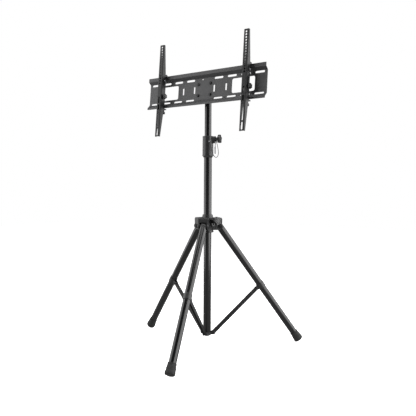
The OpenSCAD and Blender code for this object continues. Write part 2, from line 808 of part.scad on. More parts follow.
// Upright slot through the face of an arm from height z0 down to z1
module arm_slot(z0, z1) {
    w = arm_slot_w;
    for (z = [z0 - w / 2, z1 + w / 2]) translate([0, -arm_y, z]) y_cyl(w, 10);
    translate([-w / 2, -arm_y - 5, z1 + w / 2]) cube([w, 10, z0 - z1 - w]);
}

module guide_bolt(x) {
    color(ZINC) at_arm(x) translate([0, -guide_y, guide_z]) {
        translate([-arm_w / 2 - 1, 0, 0]) x_cyl(guide_d, arm_w + 2);
        translate([arm_w / 2 + 0.1, 0, 0]) hex(10, 4);
        translate([-arm_w / 2 - 4.1, 0, 0]) hex(10, 4);
    }
}

module tilt_bolt(x) {
    color(ZINC) at_arm(x) translate([0, -pivot_y, pivot_z]) {
        translate([-arm_w / 2 - 1.5, 0, 0]) x_cyl(bolt_d, arm_w + 11);
        translate([-arm_w / 2 - 6, 0, 0]) hex(13, 5.3);
    }
}

module tilt_knob(x) {
    color(PLASTIC) at_arm(x) translate([arm_w / 2 + 5, -pivot_y, pivot_z]) {
        lobed_knob(tilt_knob_d, 8, tilt_lobes, bolt_d + 2 * fit);
    }
}

// Thumb screw that keeps the arm from lifting off the rail
module lock_screw(x) {
    color(BLACK) at_arm(x) translate([0, -latch_y, 0]) {
        translate([0, 0, -top_z - 18]) cylinder(d = screw_d, h = 26);
        translate([0, 0, -top_z - 26]) cylinder(d = 12, h = 10);
    }
}

// ---------- tether ----------

function unit(v) = v / norm(v);
function sweep_dir(p, i) = unit(p[min(i + 1, len(p) - 1)] - p[max(i - 1, 0)]);

// Tube of eight sides swept along a list of points
module swept_cord(p, d) {
    sides = 8;
    rings = [
        for (i = [0 : len(p) - 1])
            let (t = sweep_dir(p, i), u = unit(cross(t, [0.3, 0.9, 0.1])), v = cross(t, u))
            for (k = [0 : sides - 1])
                p[i] + d / 2 * (cos(360 * k / sides) * u + sin(360 * k / sides) * v)
    ];
    last = (len(p) - 1) * sides;
    skin = [
        for (i = [0 : len(p) - 2], k = [0 : sides - 1])
            let (a = i * sides + k, b = i * sides + (k + 1) % sides)
            each [[a, b, b + sides], [a, b + sides, a + sides]]
    ];
    caps = [
        [for (k = [sides - 1 : -1 : 0]) k],
        [for (k = [0 : sides - 1]) last + k]
    ];
    polyhedron(rings, concat(skin, caps), convexity = 4);
}

module pin_tether() { color(RUBBER) at_mast() translate([0, 0, clamp_top_z]) swept_cord(tether, tether_d); }

// ---------- nodes ----------

outer_mast();
bottom_hub();
hub_rivets();
clamp_collar();
collar_bush();
tether_screw();
pin_tether();
crown();
crown_bush();
crown_bolts();
crown_nuts();
crown_cap_screw();
lock_knob();
lock_stud();
clamp_knob();
clamp_stud();
safety_pin();
leg_tube(0);  // leg_tube_right
leg_tube(1);  // leg_tube_left
leg_tube(2);  // leg_tube_front
leg_cap(0);  // leg_cap_right
leg_cap(1);  // leg_cap_left
leg_cap(2);  // leg_cap_front
leg_strap(0);  // leg_strap_right
leg_strap(1);  // leg_strap_left
leg_strap(2);  // leg_strap_front
strap_rivet(0);  // strap_rivet_right
strap_rivet(1);  // strap_rivet_left
strap_rivet(2);  // strap_rivet_front
foot(0);  // foot_right
foot(1);  // foot_left
foot(2);  // foot_front
brace(0);  // brace_right
brace(1);  // brace_left
brace(2);  // brace_front
guide_ring();
upper_mast();
mast_cap();
tilt_bolts();
tilt_nuts();
tilt_bracket();
rail_plate();
plate_bolts();
plate_nuts();
hook(arm_left_x);  // hook_left
hook(arm_right_x);  // hook_right
arm(arm_left_x);  // arm_left
arm(arm_right_x);  // arm_right
guide_bolt(arm_left_x);  // guide_bolt_left
guide_bolt(arm_right_x);  // guide_bolt_right
tilt_bolt(arm_left_x);  // tilt_bolt_left
tilt_bolt(arm_right_x);  // tilt_bolt_right
tilt_knob(arm_left_x);  // tilt_knob_left
tilt_knob(arm_right_x);  // tilt_knob_right
lock_screw(arm_left_x);  // lock_screw_left
lock_screw(arm_right_x);  // lock_screw_right
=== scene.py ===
"""Looks for a folding tripod floor stand with a telescoping mast and a tilting flat-panel mount.

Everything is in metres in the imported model's own frame: +Z up, the rail plate along X, its front towards -Y.
Places and directions are read from the frame. Sizes of pressings and mouldings are fields of their classes.
"""

from __future__ import annotations

import json
import logging
import math
from dataclasses import dataclass, field
from enum import Enum
from typing import Callable, Iterable, Sequence

import bmesh
import bpy
from mathutils import Matrix, Vector

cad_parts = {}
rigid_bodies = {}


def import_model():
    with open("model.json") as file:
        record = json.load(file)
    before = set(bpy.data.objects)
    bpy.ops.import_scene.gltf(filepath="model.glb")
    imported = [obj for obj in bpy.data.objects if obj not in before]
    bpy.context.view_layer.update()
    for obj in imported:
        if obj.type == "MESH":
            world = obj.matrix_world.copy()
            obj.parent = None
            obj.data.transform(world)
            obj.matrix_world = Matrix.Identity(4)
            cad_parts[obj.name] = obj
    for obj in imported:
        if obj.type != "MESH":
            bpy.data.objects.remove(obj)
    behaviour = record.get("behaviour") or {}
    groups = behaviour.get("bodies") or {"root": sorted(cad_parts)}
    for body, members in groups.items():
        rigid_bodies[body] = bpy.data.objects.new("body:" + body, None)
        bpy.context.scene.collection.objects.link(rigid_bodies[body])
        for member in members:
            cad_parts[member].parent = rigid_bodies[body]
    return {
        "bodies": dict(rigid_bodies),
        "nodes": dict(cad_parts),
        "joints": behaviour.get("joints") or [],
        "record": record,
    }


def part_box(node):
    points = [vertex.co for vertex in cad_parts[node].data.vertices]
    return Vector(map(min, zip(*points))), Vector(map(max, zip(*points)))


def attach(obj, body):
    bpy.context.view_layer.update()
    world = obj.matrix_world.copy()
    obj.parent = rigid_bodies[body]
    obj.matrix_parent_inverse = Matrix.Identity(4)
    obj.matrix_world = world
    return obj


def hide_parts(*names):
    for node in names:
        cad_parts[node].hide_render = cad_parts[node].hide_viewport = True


log = logging.getLogger("stand")

MM = 0.001
SIDES = ("left", "right")
LEGS = ("right", "left", "front")
Colour = tuple[float, float, float]
Point2 = tuple[float, float]
Point3 = tuple[float, float, float]


class Slot(Enum):
    """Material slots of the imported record."""

    TUBE = "tube_coat"
    SHEET = "sheet_coat"
    MOULDED = "moulded_plastic"
    KNOB = "knob_plastic"
    NYLON = "nylon"
    RUBBER = "foot_rubber"
    CORD = "tether_cord"
    ZINC = "zinc"
    STEEL = "black_steel"


# ---------------------------------------------------------------- frame


class Stand:
    """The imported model: its nodes, joints and the local frames that the pieces are built in."""

    def __init__(self, frame: dict) -> None:
        """Keeps the frame and finds the mast axis and the head's own axes.
        """
        self.nodes: dict[str, bpy.types.Object] = frame["nodes"]
        self.joints: dict[str, dict] = {j["name"]: j for j in frame["joints"]}
        self.head = self._head_place()
        self.mast = self.pivot("head_tilt").xy.to_3d()

    def pivot(self, joint: str) -> Vector:
        """Returns the point that a hinge turns about."""
        return Vector(self.joints[joint]["pos_m"])

    def axis(self, joint: str) -> Vector:
        """Returns a joint's direction."""
        return Vector(self.joints[joint]["axis"]).normalized()

    def _head_place(self) -> Matrix:
        """Returns the head's frame: the tilt axis along X, the plate's own upright along Z."""
        up = self.axis("lock_screw_left_drop")
        across = self.axis("head_tilt")
        axes = Matrix((across, up.cross(across), up)).transposed().to_4x4()
        return Matrix.Translation(self.pivot("head_tilt")) @ axes

    def leg(self, side: str) -> Matrix:
        """Returns a leg's frame.

        Args:
            side: which leg.

        Returns:
            Origin at the crown pivot, +Z down the leg to its foot, Y along the pivot pin.
        """
        pivot = self.pivot(f"leg_{side}_fold")
        down = (self.centre(f"leg_tube_{side}") - pivot).normalized()
        pin = self.axis(f"leg_{side}_fold")
        axes = Matrix((pin.cross(down), pin, down)).transposed().to_4x4()
        return Matrix.Translation(pivot) @ axes

    def knob(self, joint: str) -> Matrix:
        """Returns a knob's frame.

        Args:
            joint: the joint that the knob turns on.

        Returns:
            Origin at the knob's back face, +Z out along its stud, X upwards.
        """
        out = self.axis(joint)
        up = Vector((0, 0, 1)) if abs(out.z) < 0.5 else Vector((0, 1, 0))
        side = (up - up.project(out)).normalized()
        axes = Matrix((side, out.cross(side), out)).transposed().to_4x4()
        return Matrix.Translation(self.pivot(joint)) @ axes

    def points(self, node: str) -> list[Vector]:
        """Returns the corners of a CAD node's mesh."""
        return [v.co for v in self.nodes[node].data.vertices]

    def centre(self, node: str) -> Vector:
        """Returns the middle of a CAD node's box."""
        points = self.points(node)
        return sum(points, Vector()) / len(points)

    def extent(self, node: str, place: Matrix) -> tuple[Vector, Vector]:
        """Returns a CAD node's lowest and highest corners in a local frame.

        Args:
            node: the CAD node.
            place: the local frame.

        Returns:
            The two corners.
        """
        back = place.inverted()
        local = [back @ p for p in self.points(node)]
        low = Vector([min(p[k] for p in local) for k in range(3)])
        high = Vector([max(p[k] for p in local) for k in range(3)])
        return low, high


# ---------------------------------------------------------------- node helpers


class Graph:
    """Adds nodes to a node tree and links them."""

    def __init__(self, tree: bpy.types.NodeTree) -> None:
        """Works on the given tree."""
        self.tree = tree

    def add(self, kind: str, inputs: dict | None = None, **settings: object) -> bpy.types.Node:
        """Adds one node.

        Args:
            kind: the node's type name.
            inputs: values or sockets for its inputs, by name or number.
            settings: the node's own properties.

        Returns:
            The node.
        """
        node = self.tree.nodes.new(kind)
        for name, value in settings.items():
            setattr(node, name, value)
        for key, value in (inputs or {}).items():
            if isinstance(value, bpy.types.NodeSocket):
                self.tree.links.new(value, node.inputs[key])
            else:
                node.inputs[key].default_value = value
        return node

    def math(self, operation: str, *values: object, clamp: bool = False) -> bpy.types.NodeSocket:
        """Adds a Math node and returns its result."""
        inputs = dict(enumerate(values))
        return self.add("ShaderNodeMath", inputs, operation=operation, use_clamp=clamp).outputs[0]

    def ramp(self, value: bpy.types.NodeSocket, low: float, high: float) -> bpy.types.NodeSocket:
        """Adds a clamped Map Range from low..high to 0..1 and returns its result."""
        inputs = {"Value": value, "From Min": low, "From Max": high}
        return self.add("ShaderNodeMapRange", inputs).outputs["Result"]

    def mix(self, share: object, first: object, second: object) -> bpy.types.NodeSocket:
        """Adds a colour Mix.

        Args:
            share: the share of the second colour.
            first: the first colour.
            second: the second colour.

        Returns:
            The mixed colour.
        """
        node = self.add("ShaderNodeMix", data_type="RGBA")
        for key, value in zip((0, 6, 7), (share, first, second)):
            if isinstance(value, bpy.types.NodeSocket):
                self.tree.links.new(value, node.inputs[key])
            else:
                node.inputs[key].default_value = value
        return node.outputs[2]


def new_group(name: str, inputs: dict[str, float], outputs: dict[str, str]) -> tuple[Graph, bpy.types.Node]:
    """Starts a shader node group.

    Args:
        name: the group's name.
        inputs: each input's name and default.
        outputs: each output's name and socket type.

    Returns:
        A graph on the group's tree, and its input node.
    """
    tree = bpy.data.node_groups.new(name, "ShaderNodeTree")
    for label, value in inputs.items():
        socket = tree.interface.new_socket(label, in_out="INPUT", socket_type="NodeSocketFloat")
        socket.default_value = value
    for label, kind in outputs.items():
        tree.interface.new_socket(label, in_out="OUTPUT", socket_type=kind)
    graph = Graph(tree)
    return graph, graph.add("NodeGroupInput")


def object_noise(graph: Graph, scale: object, detail: float, rough: float = 0.55) -> bpy.types.NodeSocket:
    """Adds noise on object coordinates.

    Args:
        graph: where to add it.
        scale: the noise's scale, per metre.
        detail: its octaves.
        rough: its roughness.

    Returns:
        The noise value.
    """
    where = graph.add("ShaderNodeTexCoord").outputs["Object"]
    inputs = {"Vector": where, "Scale": scale, "Detail": detail, "Roughness": rough}
    return graph.add("ShaderNodeTexNoise", inputs).outputs["Fac"]


def grain_and_glint_group() -> bpy.types.NodeTree:
    """Returns the group for a pebbled or orange-peel skin: a height, and a painted glint that lightens its
    crests.
    """
    outputs = {"Height": "NodeSocketFloat", "Crest Glint": "NodeSocketFloat"}
    graph, given = new_group("skin_grain_and_glint", {"Scale": 900.0, "Swell": 120.0}, outputs)
    where = graph.add("ShaderNodeTexCoord").outputs["Object"]
    inputs = {"Vector": where, "Scale": given.outputs["Scale"]}
    cells = graph.add("ShaderNodeTexVoronoi", inputs, feature="SMOOTH_F1")
    fine = object_noise(graph, given.outputs["Scale"], 3.0)
    swell = object_noise(graph, given.outputs["Swell"], 2.0)
    pebble = graph.math("SUBTRACT", 1.0, cells.outputs["Distance"])
    height = graph.math("MULTIPLY_ADD", fine, 0.6, graph.math("MULTIPLY", pebble, 0.5))
    height = graph.math("MULTIPLY_ADD", swell, 0.8, height)
    # Painted glint: the crests of the fine noise are picked out to be drawn lighter, as if they caught the
    # light.
    crest_glint = graph.ramp(fine, 0.52, 0.72)
    graph.add("NodeGroupOutput", {"Height": height, "Crest Glint": crest_glint})
    return graph.tree


def wear_group() -> bpy.types.NodeTree:
    """Returns the group for rubbed edges: a mask where the surface bends, broken up by noise."""
    graph, given = new_group(
        "edge_wear", {"Radius": 0.0008, "Amount": 0.5, "Breakup": 60.0}, {"Mask": "NodeSocketFloat"}
    )
    normal = graph.add("ShaderNodeNewGeometry").outputs["Normal"]
    soft = graph.add("ShaderNodeBevel", {"Radius": given.outputs["Radius"]}, samples=4).outputs["Normal"]
    same = graph.add("ShaderNodeVectorMath", {0: normal, 1: soft}, operation="DOT_PRODUCT").outputs["Value"]
    edge = graph.ramp(graph.math("SUBTRACT", 1.0, same), 0.02, 0.2)
    patches = graph.ramp(object_noise(graph, given.outputs["Breakup"], 5.0), 0.42, 0.68)
    mask = graph.math("MULTIPLY", edge, graph.math("MULTIPLY", patches, given.outputs["Amount"]), clamp=True)
    graph.add("NodeGroupOutput", {"Mask": mask})
    return graph.tree


def handling_group() -> bpy.types.NodeTree:
    """Returns the group for handling marks: slow smears, and thin scuffs that run round a piece."""
    graph, given = new_group(
        "handling", {"Smear": 14.0, "Scuff": 260.0}, {"Smear": "NodeSocketFloat", "Scuff": "NodeSocketFloat"}
    )
    smear = graph.ramp(object_noise(graph, given.outputs["Smear"], 4.0, 0.6), 0.3, 0.75)
    where = graph.add("ShaderNodeTexCoord").outputs["Object"]
    flat = graph.add("ShaderNodeMapping", {"Vector": where, "Scale": (0.12, 0.12, 1.0)}).outputs[0]
    lines = graph.add("ShaderNodeTexNoise", {"Vector": flat, "Scale": given.outputs["Scuff"], "Detail": 2.0})
    scuff = graph.math("MULTIPLY", graph.ramp(lines.outputs["Fac"], 0.66, 0.74), smear)
    graph.add("NodeGroupOutput", {"Smear": smear, "Scuff": scuff})
    return graph.tree


# ---------------------------------------------------------------- finishes


@dataclass(frozen=True)
class Finish:
    """A surface finish, built once as a material with its own grain, wear and handling marks, and a painted
    glint on the crests of its grain.
    """

    name: str
    slot: Slot
    colour: Colour
    # The pale colour of the real edge wear and scuffs, and also of the painted glint on the grain's crests.
    wear_and_glint_colour: Colour
    rough: float
    rough_spread: float = 0.08
    metallic: float = 0.0
    specular: float = 0.5
    grain_scale: float = 900.0
    swell_scale: float = 120.0
    grain_depth: float = 0.0002
    grain_strength: float = 0.25
    # How strongly the painted glint lightens the grain's crests.
    crest_glint: float = 0.15
    wear: float = 0.35
    wear_radius: float = 0.0008
    scuff: float = 0.15

    def build(self, groups: dict[str, bpy.types.NodeTree]) -> bpy.types.Material:
        """Builds the material.

        Args:
            groups: the shared node groups, by name.

        Returns:
            The material.
        """
        material = bpy.data.materials.new(self.name)
        material.use_nodes = True
        graph = Graph(material.node_tree)
        shader = material.node_tree.nodes["Principled BSDF"]
        grain = self._group(graph, groups["skin_grain_and_glint"], Scale=self.grain_scale, Swell=self.swell_scale)
        wear = self._group(graph, groups["edge_wear"], Radius=self.wear_radius, Amount=self.wear)
        marks = self._group(graph, groups["handling"])

        dark, pale = (*self.colour, 1.0), (*self.wear_and_glint_colour, 1.0)
        # Painted glint: the grain's crests are drawn towards the pale colour, like flecks of light on them.
        # The edge wear and scuffs added with it are real wear.
        painted_glint = graph.math("MULTIPLY", grain.outputs["Crest Glint"], self.crest_glint)
        scuffs_and_glint = graph.math("MULTIPLY_ADD", marks.outputs["Scuff"], self.scuff, painted_glint)
        share = graph.math("MAXIMUM", wear.outputs["Mask"], scuffs_and_glint, clamp=True)
        rough = graph.math("MULTIPLY_ADD", marks.outputs["Smear"], self.rough_spread, self.rough)
        inputs = {"Height": grain.outputs["Height"], "Strength": self.grain_strength}
        bump = graph.add("ShaderNodeBump", inputs | {"Distance": self.grain_depth})
        links = material.node_tree.links
        links.new(graph.mix(share, dark, pale), shader.inputs["Base Color"])
        links.new(rough, shader.inputs["Roughness"])
        links.new(bump.outputs["Normal"], shader.inputs["Normal"])
        shader.inputs["Metallic"].default_value = self.metallic
        shader.inputs["Specular IOR Level"].default_value = self.specular
        return material

    @staticmethod
    def _group(graph: Graph, tree: bpy.types.NodeTree, **values: float) -> bpy.types.Node:
        """Places a node group.

        Args:
            graph: where to add it.
            tree: the group.
            values: its inputs, by name.

        Returns:
            The group's node.
        """
        node = graph.add("ShaderNodeGroup", node_tree=tree)
        for name, value in values.items():
            node.inputs[name].default_value = value
        return node


TUBE_COAT = Finish(
    "satin_black_tube_coat", Slot.TUBE, (0.004, 0.004, 0.0045), (0.06, 0.06, 0.062), 0.15, rough_spread=0.05,
    grain_scale=420.0, swell_scale=90.0, grain_depth=0.00003, grain_strength=0.12, crest_glint=0.02, wear=0.3,
    scuff=0.06,
)
PLATE_COAT = Finish(
    "textured_grey_sheet_coat", Slot.SHEET, (0.03, 0.03, 0.0315), (0.1, 0.1, 0.104), 0.46,
    grain_scale=700.0, grain_strength=0.4, crest_glint=0.3, wear=0.45,
)
ARM_COAT = Finish(
    "textured_black_sheet_coat", Slot.SHEET, (0.004, 0.004, 0.0045), (0.09, 0.09, 0.094), 0.4, specular=0.3,
    grain_scale=700.0, grain_depth=0.0001, grain_strength=0.3, crest_glint=0.08, wear=0.5,
)
MOULDED = Finish(
    "spark_textured_nylon", Slot.MOULDED, (0.012, 0.012, 0.0125), (0.075, 0.075, 0.078), 0.36,
    grain_scale=1100.0, grain_depth=0.0001, grain_strength=0.25, crest_glint=0.15, wear=0.3, wear_radius=0.0014,
)
KNOB = Finish(
    "satin_knob_plastic", Slot.KNOB, (0.012, 0.012, 0.0125), (0.08, 0.08, 0.083), 0.32,
    grain_scale=1200.0, grain_depth=0.0001, grain_strength=0.2, crest_glint=0.1, wear=0.35, wear_radius=0.0014,
)
BUSH = Finish(
    "black_nylon_bush", Slot.NYLON, (0.02, 0.02, 0.02), (0.06, 0.06, 0.06), 0.5,
    grain_strength=0.1, crest_glint=0.05, wear=0.1,
)
RUBBER = Finish(
    "moulded_foot_rubber", Slot.RUBBER, (0.021, 0.021, 0.021), (0.075, 0.073, 0.07), 0.68,
    specular=0.35, grain_scale=500.0, grain_strength=0.45, crest_glint=0.3, wear=0.6, wear_radius=0.002,
    scuff=0.6,
)
ZINC = Finish(
    "bright_zinc_plate", Slot.ZINC, (0.42, 0.43, 0.45), (0.62, 0.62, 0.6), 0.3, metallic=1.0,
    grain_scale=1500.0, grain_strength=0.12, crest_glint=0.3, wear=0.5, scuff=0.5,
)
BLACK_STEEL = Finish(
    "black_oxide_steel", Slot.STEEL, (0.012, 0.012, 0.013), (0.16, 0.16, 0.165), 0.34, metallic=0.6,
    grain_scale=1500.0, grain_strength=0.15, crest_glint=0.2, wear=0.6,
)
BRACE_COAT = Finish(
    "satin_black_brace_coat", Slot.SHEET, (0.005, 0.005, 0.0055), (0.07, 0.07, 0.072), 0.26,
    grain_scale=600.0, grain_depth=0.00006, grain_strength=0.2, crest_glint=0.05, wear=0.45,
)
RIVET_BLACK = Finish(
    "blackened_rivet", Slot.ZINC, (0.02, 0.02, 0.021), (0.2, 0.2, 0.205), 0.36, metallic=0.7,
    grain_scale=1500.0, grain_depth=0.00005, grain_strength=0.12, crest_glint=0.1, wear=0.4,
)
PIN_STEEL = Finish(
    "dull_pin_steel", Slot.ZINC, (0.16, 0.16, 0.165), (0.4, 0.4, 0.41), 0.38, metallic=1.0,
    grain_scale=1500.0, grain_strength=0.12, crest_glint=0.3, wear=0.5, scuff=0.4,
)
ZINC_DARK = Finish(
    "dark_screw_steel", Slot.STEEL, (0.05, 0.05, 0.052), (0.2, 0.2, 0.205), 0.34, metallic=0.8,
    grain_scale=1500.0, grain_strength=0.12, crest_glint=0.2, wear=0.5,
)
CORD_SKIN = Finish(
    "coated_wire_tether", Slot.CORD, (0.003, 0.003, 0.003), (0.02, 0.02, 0.02), 0.5, specular=0.15,
    grain_scale=2500.0, grain_depth=0.00005, grain_strength=0.3, crest_glint=0.2, wear=0.1, wear_radius=0.0002,
)
FINISHES = (
    TUBE_COAT, PLATE_COAT, ARM_COAT, BRACE_COAT, MOULDED, KNOB, BUSH, RUBBER, ZINC, RIVET_BLACK, PIN_STEEL,
    ZINC_DARK, BLACK_STEEL, CORD_SKIN,
)


class Wardrobe:
    """Every finish's material, built once."""

    def __init__(self) -> None:
        """Builds the shared groups and the materials."""
        groups = {tree.name: tree for tree in (grain_and_glint_group(), wear_group(), handling_group())}
        self.materials = {finish.name: finish.build(groups) for finish in FINISHES}

    def dress(self, piece: bpy.types.Object, finish: Finish) -> None:
        """Puts a finish on a piece.

        Args:
            piece: the piece.
            finish: its finish.
        """
        piece.data.materials.clear()
        piece.data.materials.append(self.materials[finish.name])


# ---------------------------------------------------------------- mesh helpers


def add_piece(name: str, bm: bmesh.types.BMesh, place: Matrix | None = None) -> bpy.types.Object:
    """Makes an object at the origin from a bmesh, which it frees.

    Args:
        name: the piece's name.
        bm: the mesh.
        place: the local frame that the mesh was built in.

    Returns:
        The object.
    """
    if place is not None:
        bm.transform(place)
    mesh = bpy.data.meshes.new(name)
    bm.to_mesh(mesh)
    bm.free()
    piece = bpy.data.objects.new(name, mesh)
    bpy.context.scene.collection.objects.link(piece)
    return piece


def settle(piece: bpy.types.Object) -> bpy.types.Object:
    """Turns a piece's modifiers into plain mesh.

    Args:
        piece: the piece.

    Returns:
        The same piece.
    """
    graph = bpy.context.evaluated_depsgraph_get()
    graph.update()
    mesh = bpy.data.meshes.new_from_object(piece.evaluated_get(graph))
    mesh.name = piece.name
    piece.modifiers.clear()
    old, piece.data = piece.data, mesh
    bpy.data.meshes.remove(old)
    return piece


def smooth(piece: bpy.types.Object, angle: float = 40.0) -> bpy.types.Object:
    """Shades a piece smooth and lets its large faces lead the normals.

    Args:
        piece: the piece.
        angle: the angle in degrees past which an edge stays sharp.

    Returns:
        The same piece.
    """
    for polygon in piece.data.polygons:
        polygon.use_smooth = True
    piece.data.set_sharp_from_angle(angle=math.radians(angle))
    normals = piece.modifiers.new("normals", "WEIGHTED_NORMAL")
    normals.keep_sharp = True
    return settle(piece)


def soften_edges(bm: bmesh.types.BMesh, width: float, above: float = 35.0, segments: int = 2) -> None:
    """Bevels every edge that turns by more than an angle.

    Args:
        bm: the mesh.
        width: the bevel's width.
        above: the angle in degrees.
        segments: the bevel's segments.
    """
    limit = math.radians(above)
    edges = [e for e in bm.edges if len(e.link_faces) == 2 and e.calc_face_angle(0.0) > limit]
    bmesh.ops.bevel(
        bm, geom=edges, offset=width, offset_type="OFFSET", segments=segments,
        profile=0.5, affect="EDGES", clamp_overlap=True,
    )


def node_copy(stand: Stand, *nodes: str) -> bmesh.types.BMesh:
    """Copies CAD nodes, with their corners merged and their flat faces joined.

    Args:
        stand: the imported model.
        nodes: the CAD nodes.

    Returns:
        The copy.
    """
    bm = bmesh.new()
    for node in nodes:
        bm.from_mesh(stand.nodes[node].data)
    bmesh.ops.remove_doubles(bm, verts=bm.verts, dist=1e-6)
    bmesh.ops.dissolve_limit(
        bm, angle_limit=math.radians(0.5), verts=bm.verts, edges=bm.edges, use_dissolve_boundaries=False
    )
    return bm


def refined(stand: Stand, node: str, name: str, width: float) -> bpy.types.Object:
    """Makes a copy of a CAD node with softened edges.

    Args:
        stand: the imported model.
        node: the CAD node.
        name: the piece's name.
        width: the bevel's width.

    Returns:
        The piece.
    """
    bm = node_copy(stand, node)
    soften_edges(bm, width)
    return smooth(add_piece(name, bm))


def ring(bm: bmesh.types.BMesh, points: Iterable[Vector]) -> list[bmesh.types.BMVert]:
    """Adds a ring of corners."""
    return [bm.verts.new(p) for p in points]


def bridge(bm: bmesh.types.BMesh, first: list, second: list, closed: bool = True) -> None:
    """Joins two rings of equal length with quads.

    Args:
        bm: the mesh.
        first: the corners of one ring.
        second: the corners of the other.
        closed: whether the rings are closed.
    """
    count = len(first)
    for k in range(count if closed else count - 1):
        n = (k + 1) % count
        bm.faces.new((first[k], first[n], second[n], second[k]))


def lathe(profile: Sequence[Point2], steps: int = 48) -> bmesh.types.BMesh:
    """Turns a profile about Z into a closed solid.

    Args:
        profile: (radius, height) points; a radius of 0 closes an end.
        steps: how many sides it has.

    Returns:
        The mesh, faces outwards.
    """
    bm = bmesh.new()
    turns = [(math.cos(math.tau * k / steps), math.sin(math.tau * k / steps)) for k in range(steps)]
    rows: list[list[bmesh.types.BMVert]] = []
    for radius, height in profile:
        if radius <= 0:
            rows.append([bm.verts.new((0, 0, height))] * steps)
        else:
            rows.append(ring(bm, (Vector((radius * c, radius * s, height)) for c, s in turns)))
    closed = profile[0][0] > 0 and profile[-1][0] > 0
    pairs = list(zip(rows, rows[1:])) + ([(rows[-1], rows[0])] if closed else [])
    for low, high in pairs:
        for k in range(steps):
            n = (k + 1) % steps
            corners = list(dict.fromkeys((low[k], low[n], high[n], high[k])))
            if len(corners) > 2:
                bm.faces.new(corners)
    bmesh.ops.recalc_face_normals(bm, faces=bm.faces)
    return bm


def rounded_profile(corners: Sequence[Point3], steps: int = 4) -> list[Point2]:
    """Rounds the corners of a profile.

    Args:
        corners: (radius, height, rounding) points.
        steps: segments in each round.

    Returns:
        The profile's points.
    """
    made: list[Point2] = [corners[0][:2]]
    for before, here, after in zip(corners, corners[1:], corners[2:]):
        made.extend(fillet(before[:2], here[:2], after[:2], here[2], steps))
    made.append(corners[-1][:2])
    return made


def fillet(before: Point2, corner: Point2, after: Point2, radius: float, steps: int) -> list[Point2]:
    """Returns the points of a round corner between two straight runs.

    Args:
        before: a point on the run that comes in.
        corner: where the runs meet.
        after: a point on the run that goes out.
        radius: the round's radius; 0 keeps the corner.
        steps: segments in the round.

    Returns:
        The round's points, from the run that comes in to the one that goes out.
    """
    here = Vector(corner)
    back = Vector(before) - here
    on = Vector(after) - here
    if radius <= 0 or back.length < 1e-9 or on.length < 1e-9:
        return [tuple(here)]
    back.normalize()
    on.normalize()
    half = back.angle(on) / 2
    if half > math.radians(89.5):
        return [tuple(here)]
    middle = here + (back + on).normalized() * (radius / math.sin(half))
    start = here + back * (radius / math.tan(half)) - middle
    end = here + on * (radius / math.tan(half)) - middle
    turn = start.angle_signed(end)
    made = []
    for k in range(steps + 1):
        a = -turn * k / steps
        made.append((
            middle.x + start.x * math.cos(a) - start.y * math.sin(a),
            middle.y + start.x * math.sin(a) + start.y * math.cos(a),
        ))
    return made


# ---------------------------------------------------------------- folded sheet metal


@dataclass
class Fold:
    """Section of a folded sheet: straight runs between corners, joined by round bends."""

    corners: Sequence[Point2]
    bend: float
    thickness: float
    inward: float = 1.0
    steps: int = 5
    stations: list[tuple[float, Vector, Vector]] = field(init=False)
    starts: list[float] = field(init=False)

    def __post_init__(self) -> None:
        """Walks the section and notes where the flat sheet is at each station."""
        points: list[Point2] = [self.corners[0]]
        runs = [0]
        for before, here, after in zip(self.corners, self.corners[1:], self.corners[2:]):
            points.extend(fillet(before, here, after, self.bend, self.steps))
            runs.append(len(points) - 1)
        points.append(self.corners[-1])
        path = [Vector(p) for p in points]
        self.stations, self.starts = [], []
        run = 0.0
        for k, point in enumerate(path):
            run += (point - path[k - 1]).length if k else 0.0
            ahead = (path[min(k + 1, len(path) - 1)] - point).normalized()
            behind = (point - path[max(k - 1, 0)]).normalized()
            along = (ahead + behind).normalized()
            self.stations.append((run, point, Vector((-along.y, along.x)) * self.inward))
            if k in runs:
                self.starts.append(run)

    def flat(self, run: int, distance: float) -> float:
        """Returns where a point on a straight run lies in the flat sheet.

        Args:
            run: the run's number.
            distance: distance from the corner where the run starts.

        Returns:
            Its place across the flat sheet.
        """
        if run == 0:
            return distance
        before, here, after = (Vector(self.corners[run + k]) for k in (-1, 0, 1))
        half = (before - here).angle(after - here) / 2
        return self.starts[run] + distance - self.bend / math.tan(half)

    def width(self) -> float:
        """Returns the flat sheet's width."""
        return self.stations[-1][0]

    def place(self, across: float, depth: float) -> Vector:
        """Finds where a point of the flat sheet lies in the section.

        Args:
            across: its place across the flat sheet.
            depth: its depth as a share of the thickness.

        Returns:
            The section point.
        """
        low = self.stations[0]
        for high in self.stations[1:]:
            if across <= high[0] or high is self.stations[-1]:
                share = (across - low[0]) / max(high[0] - low[0], 1e-9)
                point = low[1].lerp(high[1], share)
                return point + low[2].lerp(high[2], share).normalized() * self.thickness * depth
            low = high
        return low[1]


def slot_loop(centre: Point2, length: float, height: float, steps: int = 8) -> list[Point2]:
    """Draws a round-ended slot along the first axis, or a circle if it is as long as high.

    Args:
        centre: its middle.
        length: its whole length.
        height: its width.
        steps: segments in each round end.

    Returns:
        The outline.
    """
    x, y = centre
    reach, radius = (length - height) / 2, height / 2
    loop = []
    for side in (1, -1):
        for k in range(steps + 1):
            a = math.pi * (k / steps - 0.5)
            loop.append((x + side * (reach + radius * math.cos(a)), y + side * radius * math.sin(a)))
    return loop if reach > 1e-6 else loop[:-1][: steps] + loop[steps + 1: -1]


def window_loop(centre: Point2, width: float, height: float, radius: float, steps: int = 5) -> list[Point2]:
    """Draws a round-cornered window.

    Args:
        centre: its middle.
        width: its size along the first axis.
        height: its size along the second axis.
        radius: the radius of its corners.
        steps: segments in each corner.

    Returns:
        The outline.
    """
    x, y = centre
    loop = []
    for k, (sx, sy) in enumerate(((1, 1), (-1, 1), (-1, -1), (1, -1))):
        for n in range(steps + 1):
            a = math.pi / 2 * (k + n / steps)
            loop.append((
                x + sx * (width / 2 - radius) + radius * math.cos(a),
                y + sy * (height / 2 - radius) + radius * math.sin(a),
            ))
    return loop


def turned(loop: Sequence[Point2]) -> list[Point2]:
    """Swaps the two axes of an outline."""
    return [(b, a) for a, b in loop]


